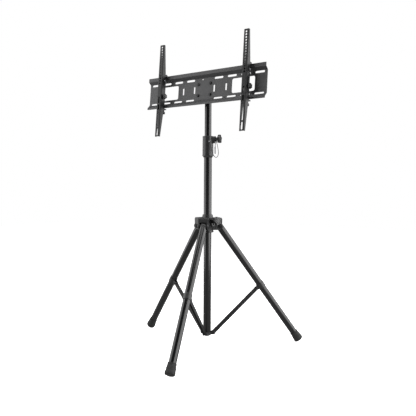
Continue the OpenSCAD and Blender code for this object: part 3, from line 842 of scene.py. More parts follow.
def pressed_sheet(
    fold: Fold, outline: Sequence[Point2], holes: Iterable[Sequence[Point2]],
    to_space: Callable[[Vector, float], Vector], edge: float = 0.25 * MM,
) -> bmesh.types.BMesh:
    """Cuts a sheet to its outline, pierces it, folds it and softens its edges.

    Args:
        fold: the section that it is folded to.
        outline: (across, along) corners of the flat sheet.
        holes: outlines of the holes in the flat sheet.
        to_space: gives the place of a section point at a place along the sheet.
        edge: how far the edges are broken.

    Returns:
        The closed solid.
    """
    flat = flat_sheet(outline, holes)
    for across, _, _ in fold.stations[1:-1]:
        geom = [*flat.verts, *flat.edges, *flat.faces]
        bmesh.ops.bisect_plane(flat, geom=geom, dist=1e-7, plane_co=(across, 0, 0), plane_no=(1, 0, 0))
    flat.verts.ensure_lookup_table()
    bm = bmesh.new()
    skins = []
    for depth in (0.0, 1.0):
        skins.append([bm.verts.new(to_space(fold.place(v.co.x, depth), v.co.y)) for v in flat.verts])
    front, back = skins
    for face in flat.faces:
        ids = [v.index for v in face.verts]
        bm.faces.new([front[k] for k in ids])
        bm.faces.new([back[k] for k in reversed(ids)])
    for edge_line in flat.edges:
        if len(edge_line.link_faces) == 1:
            a, b = (v.index for v in edge_line.verts)
            bm.faces.new((front[a], front[b], back[b], back[a]))
    flat.free()
    bmesh.ops.recalc_face_normals(bm, faces=bm.faces)
    bmesh.ops.dissolve_limit(
        bm, angle_limit=math.radians(0.5), verts=bm.verts, edges=bm.edges, use_dissolve_boundaries=False
    )
    soften_edges(bm, edge, above=50.0)
    return bm


def flat_sheet(outline: Sequence[Point2], holes: Iterable[Sequence[Point2]]) -> bmesh.types.BMesh:
    """Fills a flat sheet with holes, in the XY plane.

    Args:
        outline: the sheet's outline.
        holes: the outlines of its holes.

    Returns:
        The sheet, which has no thickness yet.
    """
    curve = bpy.data.curves.new("flat", "CURVE")
    curve.dimensions = "2D"
    curve.fill_mode = "BOTH"
    for loop in (outline, *holes):
        line = curve.splines.new("POLY")
        line.points.add(len(loop) - 1)
        for point, (x, y) in zip(line.points, loop):
            point.co = (x, y, 0, 1)
        line.use_cyclic_u = True
    holder = bpy.data.objects.new("flat", curve)
    bpy.context.scene.collection.objects.link(holder)
    graph = bpy.context.evaluated_depsgraph_get()
    mesh = bpy.data.meshes.new_from_object(holder.evaluated_get(graph))
    bm = bmesh.new()
    bm.from_mesh(mesh)
    bpy.data.objects.remove(holder)
    bpy.data.curves.remove(curve)
    bpy.data.meshes.remove(mesh)
    bmesh.ops.remove_doubles(bm, verts=bm.verts, dist=1e-6)
    return bm


# ---------------------------------------------------------------- mouldings


def joined(parts: Iterable[bmesh.types.BMesh]) -> bmesh.types.BMesh:
    """Puts several solids, which it frees, into one mesh.

    Args:
        parts: the solids.

    Returns:
        The mesh that holds them all.
    """
    whole = bmesh.new()
    for part in parts:
        mesh = bpy.data.meshes.new("part")
        part.to_mesh(mesh)
        part.free()
        whole.from_mesh(mesh)
        bpy.data.meshes.remove(mesh)
    return whole


def moulded(
    name: str, parts: Sequence[bmesh.types.BMesh], voxel: float, passes: int = 4, keep: float = 0.5
) -> bpy.types.Object:
    """Grows solids together into one moulding with soft edges.

    Args:
        name: the piece's name.
        parts: overlapping closed solids, which it frees.
        voxel: the grid that they are joined on.
        passes: how often the skin is smoothed.
        keep: share of the faces kept at the end.

    Returns:
        The piece.
    """
    piece = add_piece(name, joined(parts))
    remesh = piece.modifiers.new("grow", "REMESH")
    remesh.mode = "VOXEL"
    remesh.voxel_size = voxel
    relax = piece.modifiers.new("relax", "SMOOTH")
    relax.factor = 0.5
    relax.iterations = passes
    thin = piece.modifiers.new("thin", "DECIMATE")
    thin.ratio = keep
    settle(piece)
    for polygon in piece.data.polygons:
        polygon.use_smooth = True
    return piece


# ---------------------------------------------------------------- fasteners


@dataclass(frozen=True)
class HeadShape:
    """Sizes of one kind of bolt head, nut or rivet. Heights are above the seat."""

    sides: int
    width: float
    height: float
    chamfer: float = 0.6 * MM
    socket_sides: int = 0
    socket: float = 0.0
    washer: float = 0.0
    washer_height: float = 0.0
    shank: float = 0.0
    shank_length: float = 0.0


class FastenerTree:
    """Geometry Nodes tree that seats a head, with its washer and shank, on each point of a mesh."""

    INPUTS = (
        ("Sides", "NodeSocketInt"), ("Radius", "NodeSocketFloat"), ("Height", "NodeSocketFloat"),
        ("Chamfer", "NodeSocketFloat"), ("Socket Sides", "NodeSocketInt"),
        ("Socket Radius", "NodeSocketFloat"), ("Washer Radius", "NodeSocketFloat"),
        ("Washer Height", "NodeSocketFloat"), ("Shank Radius", "NodeSocketFloat"),
        ("Shank Length", "NodeSocketFloat"), ("Finish", "NodeSocketMaterial"),
    )
    RIM_SHARE = 0.72
    RIM_SINK = -0.4
    FLOOR_SHARE = 0.9
    SOCKET_DEPTH = -0.5
    ABOVE_FACE = 0.00002
    SMALLEST = 1e-5
    WELD = 1e-6

    def __init__(self) -> None:
        """Builds the tree."""
        self.tree = bpy.data.node_groups.new("fasteners", "GeometryNodeTree")
        self.graph = Graph(self.tree)
        face = self.tree.interface
        face.new_socket("Seats", in_out="INPUT", socket_type="NodeSocketGeometry")
        self.sockets = {
            name: face.new_socket(name, in_out="INPUT", socket_type=kind).identifier
            for name, kind in self.INPUTS
        }
        face.new_socket("Fasteners", in_out="OUTPUT", socket_type="NodeSocketGeometry")
        given = self.graph.add("NodeGroupInput").outputs
        head = self._head(given)
        washer = self._post(32, given["Washer Radius"], given["Washer Height"], 0.0)
        shank_base = self.graph.math("MULTIPLY", given["Shank Length"], -1.0)
        shank = self._post(24, given["Shank Radius"], given["Shank Length"], shank_base)
        whole = self._join(head, washer, shank)
        name = {"Name": "aim"}
        aim = self.graph.add("GeometryNodeInputNamedAttribute", name, data_type="FLOAT_VECTOR").outputs[0]
        turn = self.graph.add("FunctionNodeAlignRotationToVector", {"Vector": aim}, axis="Z").outputs[0]
        placed = {"Points": given["Seats"], "Instance": whole, "Rotation": turn}
        spots = self.graph.add("GeometryNodeInstanceOnPoints", placed).outputs[0]
        solid = self.graph.add("GeometryNodeRealizeInstances", {"Geometry": spots}).outputs[0]
        dress = {"Geometry": solid, "Material": given["Finish"]}
        self.graph.add("NodeGroupOutput", {0: self.graph.add("GeometryNodeSetMaterial", dress).outputs[0]})

    def _join(self, *parts: bpy.types.NodeSocket) -> bpy.types.NodeSocket:
        """Joins meshes.

        Args:
            parts: the meshes.

        Returns:
            The mesh that holds them all.
        """
        node = self.graph.add("GeometryNodeJoinGeometry")
        for part in parts:
            self.tree.links.new(part, node.inputs[0])
        return node.outputs[0]

    def _weld(self, *parts: bpy.types.NodeSocket) -> bpy.types.NodeSocket:
        """Joins open skins into one closed skin."""
        inputs = {"Geometry": self._join(*parts), "Distance": self.WELD}
        return self.graph.add("GeometryNodeMergeByDistance", inputs).outputs[0]

    def _circle(self, sides: object, radius: object) -> bpy.types.NodeSocket:
        """Adds a filled circle that faces up."""
        inputs = {"Vertices": sides, "Radius": radius}
        return self.graph.add("GeometryNodeMeshCircle", inputs, fill_type="NGON").outputs[0]

    def _flip(self, mesh: bpy.types.NodeSocket) -> bpy.types.NodeSocket:
        """Turns a mesh's faces round."""
        return self.graph.add("GeometryNodeFlipFaces", {"Mesh": mesh}).outputs[0]

    def _raise(self, mesh: bpy.types.NodeSocket, height: object) -> bpy.types.NodeSocket:
        """Moves a mesh up by a height."""
        shift = self.graph.add("ShaderNodeCombineXYZ", {"Z": height}).outputs[0]
        return self.graph.add("GeometryNodeTransform", {"Geometry": mesh, "Translation": shift}).outputs[0]

    def _if_wide(self, radius: object, yes: object, no: object = None) -> bpy.types.NodeSocket:
        """Chooses between two meshes, or a mesh and nothing.

        Args:
            radius: the radius that decides.
            yes: the mesh where the radius is more than nothing.
            no: the mesh where it isn't.

        Returns:
            The chosen mesh.
        """
        test = {"A": radius, "B": self.SMALLEST}
        wide = self.graph.add("FunctionNodeCompare", test, operation="GREATER_THAN").outputs[0]
        inputs = {"Switch": wide, "True": yes} | ({} if no is None else {"False": no})
        return self.graph.add("GeometryNodeSwitch", inputs, input_type="GEOMETRY").outputs[0]

    def _lift(self, mesh: object, height: object, top: object | None) -> tuple:
        """Extrudes the top face straight up.

        Args:
            mesh: the mesh.
            height: how far to extrude.
            top: the selection of the top face, or None for every face.

        Returns:
            The mesh and its new top.
        """
        offset = self.graph.add("ShaderNodeCombineXYZ", {"Z": height}).outputs[0]
        inputs = {"Mesh": mesh, "Offset": offset, "Offset Scale": 1.0}
        if top is not None:
            inputs["Selection"] = top
        node = self.graph.add("GeometryNodeExtrudeMesh", inputs)
        return node.outputs["Mesh"], node.outputs["Top"]

    def _shrink(self, mesh: object, top: object, share: object) -> bpy.types.NodeSocket:
        """Scales the top face about its middle."""
        inputs = {"Geometry": mesh, "Selection": top, "Scale": share}
        return self.graph.add("GeometryNodeScaleElements", inputs).outputs[0]

    def _post(self, sides: int, radius: object, height: object, base: object) -> bpy.types.NodeSocket:
        """Adds a closed round post, or nothing where its radius is 0.

        Args:
            sides: how many sides it has.
            radius: its radius.
            height: its height.
            base: the height that it stands at.

        Returns:
            The post.
        """
        wall, _ = self._lift(self._circle(sides, radius), height, None)
        closed = self._weld(wall, self._flip(self._circle(sides, radius)))
        return self._if_wide(radius, self._raise(closed, base))

    def _head(self, given: object) -> bpy.types.NodeSocket:
        """Adds the head: sides, chamfer, a pressed rim and its socket, standing on the washer.

        Args:
            given: the tree's inputs, by name.

        Returns:
            The head.
        """
        graph = self.graph
        sides, radius, height, chamfer = (given[key] for key in ("Sides", "Radius", "Height", "Chamfer"))
        mesh, top = self._lift(self._circle(sides, radius), graph.math("SUBTRACT", height, chamfer), None)
        mesh, top = self._lift(mesh, chamfer, top)
        mesh = self._shrink(mesh, top, graph.math("DIVIDE", graph.math("SUBTRACT", radius, chamfer), radius))
        mesh, top = self._lift(mesh, 0.0, top)
        mesh = self._shrink(mesh, top, self.RIM_SHARE)
        mesh, top = self._lift(mesh, graph.math("MULTIPLY", chamfer, self.RIM_SINK), top)
        mesh = self._shrink(mesh, top, self.FLOOR_SHARE)
        closed = self._weld(mesh, self._flip(self._circle(sides, radius)))
        solid = self._raise(closed, given["Washer Height"])
        pit_sides, pit_radius = given["Socket Sides"], given["Socket Radius"]
        pit_depth = graph.math("MULTIPLY", height, self.SOCKET_DEPTH)
        pit, _ = self._lift(self._circle(pit_sides, pit_radius), pit_depth, None)
        face = graph.math("ADD", graph.math("ADD", given["Washer Height"], height), self.ABOVE_FACE)
        lid = self._raise(self._circle(pit_sides, pit_radius), face)
        tool = self._weld(self._flip(self._raise(pit, face)), lid)
        cut = graph.add("GeometryNodeMeshBoolean", {"Mesh 1": solid}, operation="DIFFERENCE")
        self.tree.links.new(tool, cut.inputs["Mesh 2"])
        return self._if_wide(pit_radius, cut.outputs["Mesh"], solid)

    def seat(
        self, name: str, shape: HeadShape, seats: Sequence[tuple[Vector, Vector]],
        material: bpy.types.Material,
    ) -> bpy.types.Object:
        """Makes one piece of fasteners.

        Args:
            name: the piece's name.
            shape: the fastener's sizes.
            seats: each one's seat and the direction that its head faces.
            material: its material.

        Returns:
            The piece, as plain mesh.
        """
        mesh = bpy.data.meshes.new(name)
        mesh.from_pydata([tuple(p) for p, _ in seats], [], [])
        aim = mesh.attributes.new("aim", "FLOAT_VECTOR", "POINT")
        aim.data.foreach_set("vector", [c for _, way in seats for c in way.normalized()])
        piece = bpy.data.objects.new(name, mesh)
        bpy.context.scene.collection.objects.link(piece)
        modifier = piece.modifiers.new("fasteners", "NODES")
        modifier.node_group = self.tree
        values = {
            "Sides": shape.sides, "Radius": across_corners(shape.width, shape.sides), "Height": shape.height,
            "Chamfer": shape.chamfer, "Socket Sides": max(shape.socket_sides, 3),
            "Socket Radius": across_corners(shape.socket, shape.socket_sides),
            "Washer Radius": shape.washer / 2, "Washer Height": shape.washer_height,
            "Shank Radius": shape.shank / 2, "Shank Length": shape.shank_length, "Finish": material,
        }
        for label, value in values.items():
            modifier[self.sockets[label]] = value
        settle(piece)
        for polygon in piece.data.polygons:
            polygon.use_smooth = True
        piece.data.set_sharp_from_angle(angle=math.radians(30.0))
        return piece


def across_corners(width: float, sides: int) -> float:
    """Returns the corner radius of a polygon from its width across flats; a round has many sides."""
    return width / 2 / math.cos(math.pi / sides) if 3 <= sides <= 8 else width / 2


# ---------------------------------------------------------------- base of the sub-assemblies


def mm(x: float, y: float, z: float) -> Vector:
    """Returns a point given in millimetres."""
    return Vector((x, y, z)) * MM


def facing(way: Vector) -> Matrix:
    """Returns the turn that points Z along a direction."""
    return way.to_track_quat("Z", "Y").to_matrix().to_4x4()


@dataclass
class Maker:
    """Base of every sub-assembly: dresses its pieces and lets them ride."""

    stand: Stand
    wardrobe: Wardrobe
    fasteners: FastenerTree

    def show(self, piece: bpy.types.Object, body: str, finish: Finish, *nodes: str) -> bpy.types.Object:
        """Dresses a piece, lets it ride on a body and hides the CAD nodes that it stands for.

        Args:
            piece: the finished piece.
            body: the body that carries it.
            finish: its finish.
            nodes: the CAD nodes that it replaces.

        Returns:
            The piece.
        """
        self.wardrobe.dress(piece, finish)
        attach(piece, body)
        if nodes:
            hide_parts(*nodes)
        log.info("%s rides on %s", piece.name, body)
        return piece

    def soften(self, node: str, body: str, finish: Finish, width: float) -> bpy.types.Object:
        """Shows a copy of a CAD node with softened edges and smooth round faces.

        Args:
            node: the CAD node, which the copy replaces.
            body: the body that carries it.
            finish: its finish.
            width: the bevel's width.

        Returns:
            The piece.
        """
        return self.show(refined(self.stand, node, f"{node}_shape", width), body, finish, node)

    def fasten(
        self, name: str, body: str, finish: Finish, shape: HeadShape,
        seats: Sequence[tuple[Vector, Vector]], *nodes: str,
    ) -> bpy.types.Object:
        """Shows fasteners of one kind.

        Args:
            name: the piece's name.
            body: the body that carries them.
            finish: their finish.
            shape: the fastener's sizes.
            seats: each one's seat and the direction that its head faces.
            nodes: the CAD nodes that they replace.

        Returns:
            The piece.
        """
        piece = self.fasteners.seat(name, shape, seats, self.wardrobe.materials[finish.name])
        return self.show(piece, body, finish, *nodes)


# ---------------------------------------------------------------- tether


@dataclass
class Tether(Maker):
    """Coated wire that keeps the safety pin on the collar, in a loose loop over the knob's stud."""

    diameter: float = 2.4 * MM
    clamp_top: float = 936.0
    length: float = 0.219
    sides: int = 12
    finer: int = 4
    sleeve_radius: float = 1.55 * MM
    sleeve_half: float = 3.4 * MM
    sleeve_edge: float = 0.4 * MM
    sleeve_inset: int = 14
    route: tuple[Point3, ...] = (
        (20.8, -17.1, -26), (22.7, -18.7, -26.7), (24.1, -19.7, -28.5), (25, -19.9, -31.2),
        (25.8, -19, -37.5), (26.9, -16.6, -47), (28.2, -12.6, -60), (30.2, -7.6, -74),
        (32.6, -2.1, -86), (35.4, 4.2, -93.5), (38.3, 10.4, -95), (40.9, 16.2, -91),
        (42.3, 20.1, -82), (42.3, 21.2, -71), (41.2, 19.9, -58), (40.2, 17, -44),
        (39.7, 12.2, -31), (39.6, 8.5, -21.5), (39.2, 6.8, -13.8), (38.6, 8.3, -9.7),
        (37.3, 12.4, -8), (35.9, 16.5, -9.7), (35.3, 18.1, -14), (34.5, 18.4, -20),
        (32, 19.7, -25.2), (28.6, 21, -28.6), (25.8, 21.6, -31.8), (24.4, 21.7, -35.6),
        (24, 21.7, -39.6),
    )

    def build(self) -> None:
        """Builds the wire and its two crimped sleeves."""
        knots = [self.stand.mast + mm(x, y, self.clamp_top + z) for x, y, z in self.route]
        path = self._smooth(knots)
        wire = smooth(add_piece("pin_tether_wire", self._tube(path)))
        half, radius, edge = self.sleeve_half, self.sleeve_radius, self.sleeve_edge
        crimp = rounded_profile(((0, -half, 0), (radius, -half, edge), (radius, half, edge), (0, half, 0)))
        inset = self.sleeve_inset
        for name, at in (("tether_sleeve_start", inset), ("tether_sleeve_end", len(path) - inset)):
            aim = facing(path[at + 1] - path[at])
            sleeve = smooth(add_piece(name, lathe(crimp, 20), Matrix.Translation(path[at]) @ aim))
            self.show(sleeve, "stand", BLACK_STEEL)
        self.show(wire, "stand", CORD_SKIN, "pin_tether")

    def _smooth(self, knots: Sequence[Vector]) -> list[Vector]:
        """Finds one smooth curve through the knots.

        Args:
            knots: the points that it passes through.

        Returns:
            Its points, several for each stretch between two knots.
        """
        ends = [knots[0] * 2 - knots[1], *knots, knots[-1] * 2 - knots[-2]]
        path = []
        for a, b, c, d in zip(ends, ends[1:], ends[2:], ends[3:]):
            for k in range(self.finer):
                t = k / self.finer
                bent = (2 * a - 5 * b + 4 * c - d) * t * t + (3 * b - a - 3 * c + d) * t ** 3
                path.append(0.5 * (2 * b + (c - a) * t + bent))
        return [*path, knots[-1].copy()]

    def _tube(self, path: Sequence[Vector]) -> bmesh.types.BMesh:
        """Sweeps a round section along a path without twist and closes its ends.

        Args:
            path: the points along the wire's middle.

        Returns:
            The closed tube.
        """
        bm = bmesh.new()
        side = (path[1] - path[0]).orthogonal().normalized()
        rows = []
        for k, point in enumerate(path):
            along = (path[min(k + 1, len(path) - 1)] - path[max(k - 1, 0)]).normalized()
            side = (side - side.project(along)).normalized()
            over = along.cross(side)
            turns = (math.tau * n / self.sides for n in range(self.sides))
            rows.append(ring(bm, (
                point + (side * math.cos(a) + over * math.sin(a)) * self.diameter / 2 for a in turns
            )))
        for low, high in zip(rows, rows[1:]):
            bridge(bm, low, high)
        bm.faces.new(rows[0])
        bm.faces.new(rows[-1])
        bmesh.ops.recalc_face_normals(bm, faces=bm.faces)
        return bm


# ---------------------------------------------------------------- mouldings that several sub-assemblies use


@dataclass(frozen=True)
class LobedKnob:
    """Moulded knob: round lobes, rolled edges, a dished face with a cap, and a neck behind it."""

    width: float
    depth: float
    lobes: int
    phase: float = 0.0
    core: float = 0.66
    lobe: float = 0.3
    neck: float = 0.4
    neck_depth: float = 4.0 * MM
    edge: float = 2.4 * MM
    dish_depth: float = 1.2 * MM
    cap_share: float = 0.62
    steps: int = 180
    passes: int = 14

    def build(self, name: str, place: Matrix) -> bpy.types.Object:
        """Builds the knob.

        Args:
            name: the piece's name.
            place: the frame with the knob's back face at its origin and Z outwards.

        Returns:
            The piece.
        """
        outline = self._outline()
        turns = [math.tau * k / self.steps for k in range(self.steps)]
        bm = bmesh.new()
        made = []
        for lobed, offset, height in self._rows(min(outline)):
            radii = [(r + offset) if lobed else offset for r in outline]
            made.append(ring(bm, (
                Vector((r * math.cos(a), r * math.sin(a), height)) for r, a in zip(radii, turns)
            )))
        for below, above in zip(made, made[1:]):
            bridge(bm, below, above)
        bm.faces.new(made[0])
        bm.faces.new(made[-1])
        bmesh.ops.recalc_face_normals(bm, faces=bm.faces)
        return smooth(add_piece(name, bm, place), 50.0)

    def _rows(self, low: float) -> list[tuple[bool, float, float]]:
        """Lists the knob's rows from the neck to the middle of its face.

        Args:
            low: the smallest radius of the lobed outline.

        Returns:
            Whether each row is lobed, its offset from the outline or else its radius, and its height.
        """
        neck, back = self.neck * self.width / 2, -self.neck_depth
        top, dish, cap = self.depth, self.depth - self.dish_depth, low * self.cap_share
        round_off = self.edge
        rows = [(False, low * 0.3, back), (False, neck - 0.5 * MM, back), (False, neck, back + 0.5 * MM)]
        rows += [(False, neck, -0.8 * MM), (False, neck + 0.8 * MM, 0.0)]
        rows += [(True, -round_off * 0.6, 0.0), (True, -round_off * 0.22, round_off * 0.18)]
        rows += [(True, 0.0, round_off * 0.6)]
        for k in range(6):
            a = math.pi / 2 * k / 5
            rows.append((True, round_off * (math.cos(a) - 1), top + round_off * (math.sin(a) - 1)))
        rows += [(False, cap + 2.0 * MM, top), (False, cap + 1.2 * MM, dish), (False, cap + 0.4 * MM, dish)]
        rows += [(False, cap, top - 0.2 * MM), (False, cap - 0.6 * MM, top + 0.1 * MM)]
        rows += [(False, cap * 0.45, top + 0.35 * MM)]
        return rows

    def _outline(self) -> list[float]:
        """Works out the lobed outline, with the corners between lobe and core filled out.

        Returns:
            The radius at each step.
        """
        core, lobe = self.core * self.width / 2, self.lobe * self.width / 2
        out = self.width / 2 - lobe
        radii = []
        for k in range(self.steps):
            a = math.tau * k / self.steps - self.phase
            turns = (a - math.tau * n / self.lobes for n in range(self.lobes))
            near = min(abs((turn + math.pi) % math.tau - math.pi) for turn in turns)
            reach = lobe ** 2 - (out * math.sin(near)) ** 2
            radii.append(max(core, out * math.cos(near) + math.sqrt(reach) if reach > 0 else 0.0))
        for _ in range(self.passes):
            radii = [
                min((radii[k - 1] + 2 * radii[k] + radii[(k + 1) % self.steps]) / 4, self.width / 2)
                for k in range(self.steps)
            ]
        grow = self.width / 2 / max(radii)
        return [r * grow for r in radii]


def collar_ring(
    inner: float, outer: float, low: float, high: float, edge: float = 0.6 * MM
) -> bmesh.types.BMesh:
    """Makes a ring about Z with rounded outer edges.

    Args:
        inner: its inner radius.
        outer: its outer radius.
        low: the height of its lower face.
        high: the height of its upper face.
        edge: the rounding.

    Returns:
        The ring.
    """
    section = ((inner, low, 0), (outer, low, edge), (outer, high, edge), (inner, high, 0))
    return lathe(rounded_profile(section, 3), 64)


# ---------------------------------------------------------------- mast


@dataclass
class Mast(Maker):
    """The two mast tubes, the cap on top, and the hub in the foot that the braces hang in."""

    hub_radius: float = 27.5
    hub_height: float = 61.0
    hub_ear: float = 9.5
    rivet: HeadShape = HeadShape(24, 10.0 * MM, 1.8 * MM, 0.7 * MM, shank=5.9 * MM, shank_length=4.0 * MM)

    def build(self) -> None:
        """Builds the pieces of the mast."""
        self.soften("outer_mast", "stand", TUBE_COAT, 0.25 * MM)
        self.soften("upper_mast", "mast_upper", TUBE_COAT, 0.25 * MM)
        self.soften("guide_ring", "mast_guide", BUSH, 0.2 * MM)
        self._cap()
        self._hub()

    def _cap(self) -> None:
        """Builds the domed cap in the top of the upper tube."""
        low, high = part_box("mast_cap")
        radius, top = (high[0] - low[0]) / 2, high[2]
        bm = lathe(rounded_profile((
            (0, low[2], 0), (radius - 1.6 * MM, low[2], 0.5 * MM), (radius - 1.6 * MM, top - 2.5 * MM, 0),
            (radius, top - 2.5 * MM, 0.3 * MM), (radius, top - 1.2 * MM, 1.0 * MM),
            (radius - 5 * MM, top, 3 * MM), (0, top, 0),
        )), 64)
        piece = smooth(add_piece("mast_cap_shape", bm, Matrix.Translation(self.stand.mast)))
        self.show(piece, "mast_upper", MOULDED, "mast_cap")

    def _hub(self) -> None:
        """Builds the hub with its ears and its rivets."""
        place = Matrix.Translation(self.stand.mast)
        skirt = collar_ring(12.0 * MM, 16.6 * MM, 50.0 * MM, 53.5 * MM)
        skirt.transform(place)
        hub = moulded("bottom_hub_shape", (node_copy(self.stand, "bottom_hub"), skirt), 0.7 * MM, 3)
        self.show(hub, "stand", MOULDED, "bottom_hub")
        seats = []
        for side in LEGS:
            pin = self.stand.axis(f"leg_{side}_fold")
            out = (self.stand.pivot(f"leg_{side}_fold") - self.stand.mast).xy.to_3d().normalized()
            middle = self.stand.mast + out * self.hub_radius * MM + mm(0, 0, self.hub_height)
            seats += [(middle + pin * way * self.hub_ear * MM, pin * way) for way in (1, -1)]
        self.fasten("hub_rivet_heads", "stand", RIVET_BLACK, self.rivet, seats, "hub_rivets")


# ---------------------------------------------------------------- height clamp


@dataclass
class HeightClamp(Maker):
    """Collar at the top of the lower tube, with its clamp knob, its safety pin and that pin's screw."""

    top: float = 936.0
    radius: float = 23.7
    ribs: tuple[Point3, ...] = ((-3.5, -0.6, 0.3), (-88.5, -84.5, 1.1), (-66.0, -63.5, 0.7))
    rib_inner: float = 20.0
    knob: LobedKnob = LobedKnob(39.0 * MM, 13.0 * MM, 5, core=0.76)
    screw_turn: float = -39.5
    screw_drop: float = 26.0
    screw: HeadShape = HeadShape(
        28, 7.0 * MM, 1.8 * MM, 0.5 * MM, 6, 3.0 * MM, shank=2.9 * MM, shank_length=4.8 * MM
    )
    pin_eye: float = 3.0 * MM
    pin_wire: float = 1.15 * MM
    pin_profile: tuple[Point3, ...] = (
        (0, -34.5, 0), (1.2, -34.5, 0.3), (2.5, -32, 0.4), (2.5, -28, 0), (2.1, -27.4, 0), (2.1, -26, 0),
        (2.5, -25.4, 0), (2.5, -9, 0.2), (3.3, -8.6, 0.3), (3.3, -6.4, 0.4), (1.8, -5.6, 0.4), (1.6, -3.3, 0),
        (0, -3.3, 0),
    )

    def build(self) -> None:
        """Builds the pieces of the clamp."""
        mast = Matrix.Translation(self.stand.mast)
        parts = [node_copy(self.stand, "clamp_collar")]
        for low, high, proud in self.ribs:
            outer, foot, head = (self.radius + proud) * MM, (self.top + low) * MM, (self.top + high) * MM
            rib = collar_ring(self.rib_inner * MM, outer, foot, head)
            rib.transform(mast)
            parts.append(rib)
        collar = moulded("clamp_collar_shape", parts, 0.6 * MM, 3)
        self.show(collar, "stand", MOULDED, "clamp_collar")
        self.soften("collar_bush", "stand", BUSH, 0.2 * MM)
        knob = self.knob.build("clamp_knob_shape", self.stand.knob("clamp_knob_turn"))
        self.show(knob, "clamp_knob_body", KNOB, "clamp_knob")
        self.soften("clamp_stud", "clamp_knob_body", ZINC, 0.4 * MM)
        a = math.radians(self.screw_turn)
        out = Vector((math.cos(a), math.sin(a), 0))
        seat = self.stand.mast + out * (self.radius + 0.35) * MM + mm(0, 0, self.top - self.screw_drop)
        self.fasten("tether_screw_head", "stand", ZINC, self.screw, [(seat, out)], "tether_screw")
        self._pin()

    def _pin(self) -> None:
        """Builds the safety pin: a wire ring, a collar, a grooved shank and a pointed end."""
        eye = self.stand.pivot("pin_swing")
        out = self.stand.axis("pin_swing")
        turns = [math.tau * k / 12 for k in range(12)]
        eyelet = lathe([(self.pin_eye + MM * math.cos(a), self.pin_wire * math.sin(a)) for a in turns], 32)
        eyelet.transform(Matrix.Translation(eye) @ facing(out))
        shank = lathe(rounded_profile([(r * MM, z * MM, f * MM) for r, z, f in self.pin_profile], 3), 28)
        shank.transform(Matrix.Translation(eye))
        pin = smooth(add_piece("safety_pin_shape", joined((eyelet, shank))))
        self.show(pin, "pin_body", PIN_STEEL, "safety_pin")


# ---------------------------------------------------------------- crown


@dataclass
class Crown(Maker):
    """Moulded crown that slides on the mast: three clevises, their bolts, and the lock knob."""

    half_clevis: float = 23.0
    sleeve: float = 26.0
    rib: tuple[float, float] = (-26.6, -23.5)
    rib_inner: float = 21.0
    rib_proud: float = 1.2
    boss_inner: float = 7.9
    boss_outer: float = 10.6
    boss_height: float = 2.6
    boss_edge: float = 0.8
    sunk: float = 0.5
    seat_gap: float = 0.1
    knob: LobedKnob = LobedKnob(39.0 * MM, 13.0 * MM, 5, math.radians(20.0), core=0.76)
    bolt: HeadShape = HeadShape(
        32, 14.0 * MM, 4.4 * MM, 0.9 * MM, 6, 6.2 * MM, shank=8.0 * MM, shank_length=54.4 * MM
    )
    nut: HeadShape = HeadShape(6, 13.0 * MM, 6.3 * MM, 0.7 * MM, washer=14.5 * MM, washer_height=0.3 * MM)
    cap_screw: HeadShape = HeadShape(28, 7.9 * MM, 3.4 * MM, 0.5 * MM, 6, 4.0 * MM)
    cap_screw_reach: float = 8.3
    cap_screw_rise: float = 11.0

    def build(self) -> None:
        """Builds the pieces of the crown."""
        middle = self.stand.pivot("leg_right_fold").z
        parts = [node_copy(self.stand, "crown"), self._rib(middle), *self._bosses()]
        self.show(moulded("crown_shape", parts, 0.8 * MM, 3), "crown_body", MOULDED, "crown")
        bolts, nuts = [], []
        reach = (self.half_clevis + self.seat_gap) * MM
        for side in LEGS:
            pivot, pin = self.stand.pivot(f"leg_{side}_fold"), self.stand.axis(f"leg_{side}_fold")
            bolts.append((pivot + pin * reach, pin))
            nuts.append((pivot - pin * reach, -pin))
        self.soften("crown_bush", "crown_body", BUSH, 0.2 * MM)
        self.fasten("crown_bolt_heads", "crown_body", BLACK_STEEL, self.bolt, bolts, "crown_bolts")
        self.fasten("crown_lock_nuts", "crown_body", RIVET_BLACK, self.nut, nuts, "crown_nuts")
        out = self.stand.axis("lock_knob_turn")
        rise = Vector((0, 0, middle + self.cap_screw_rise * MM))
        seat = self.stand.mast + out * (self.sleeve + self.cap_screw_reach) * MM + rise
        seats = [(seat, out)]
        self.fasten("cap_screw_head", "crown_body", BLACK_STEEL, self.cap_screw, seats, "crown_cap_screw")
        knob = self.knob.build("lock_knob_shape", self.stand.knob("lock_knob_turn"))
        self.show(knob, "lock_knob_body", KNOB, "lock_knob")
        self.soften("lock_stud", "lock_knob_body", ZINC, 0.4 * MM)

    def _rib(self, middle: float) -> bmesh.types.BMesh:
        """Makes the rib round the sleeve.

        Args:
            middle: the height of the leg pivots.

        Returns:
            The rib.
        """
        low, high = (middle + z * MM for z in self.rib)
        rib = collar_ring(self.rib_inner * MM, (self.sleeve + self.rib_proud) * MM, low, high)
        rib.transform(Matrix.Translation(self.stand.mast))
        return rib

    def _bosses(self) -> list[bmesh.types.BMesh]:
        """Returns the round bosses that the bolt heads and nuts sit in."""
        bosses = []
        for side in LEGS:
            pivot, pin = self.stand.pivot(f"leg_{side}_fold"), self.stand.axis(f"leg_{side}_fold")
            for way in (1, -1):
                face = pivot + pin * way * (self.half_clevis - self.sunk) * MM
                inner, outer, edge = self.boss_inner * MM, self.boss_outer * MM, self.boss_edge * MM
                boss = collar_ring(inner, outer, 0.0, (self.boss_height + self.sunk) * MM, edge)
                boss.transform(Matrix.Translation(face) @ facing(pin * way))
                bosses.append(boss)
        return bosses


# ---------------------------------------------------------------- legs


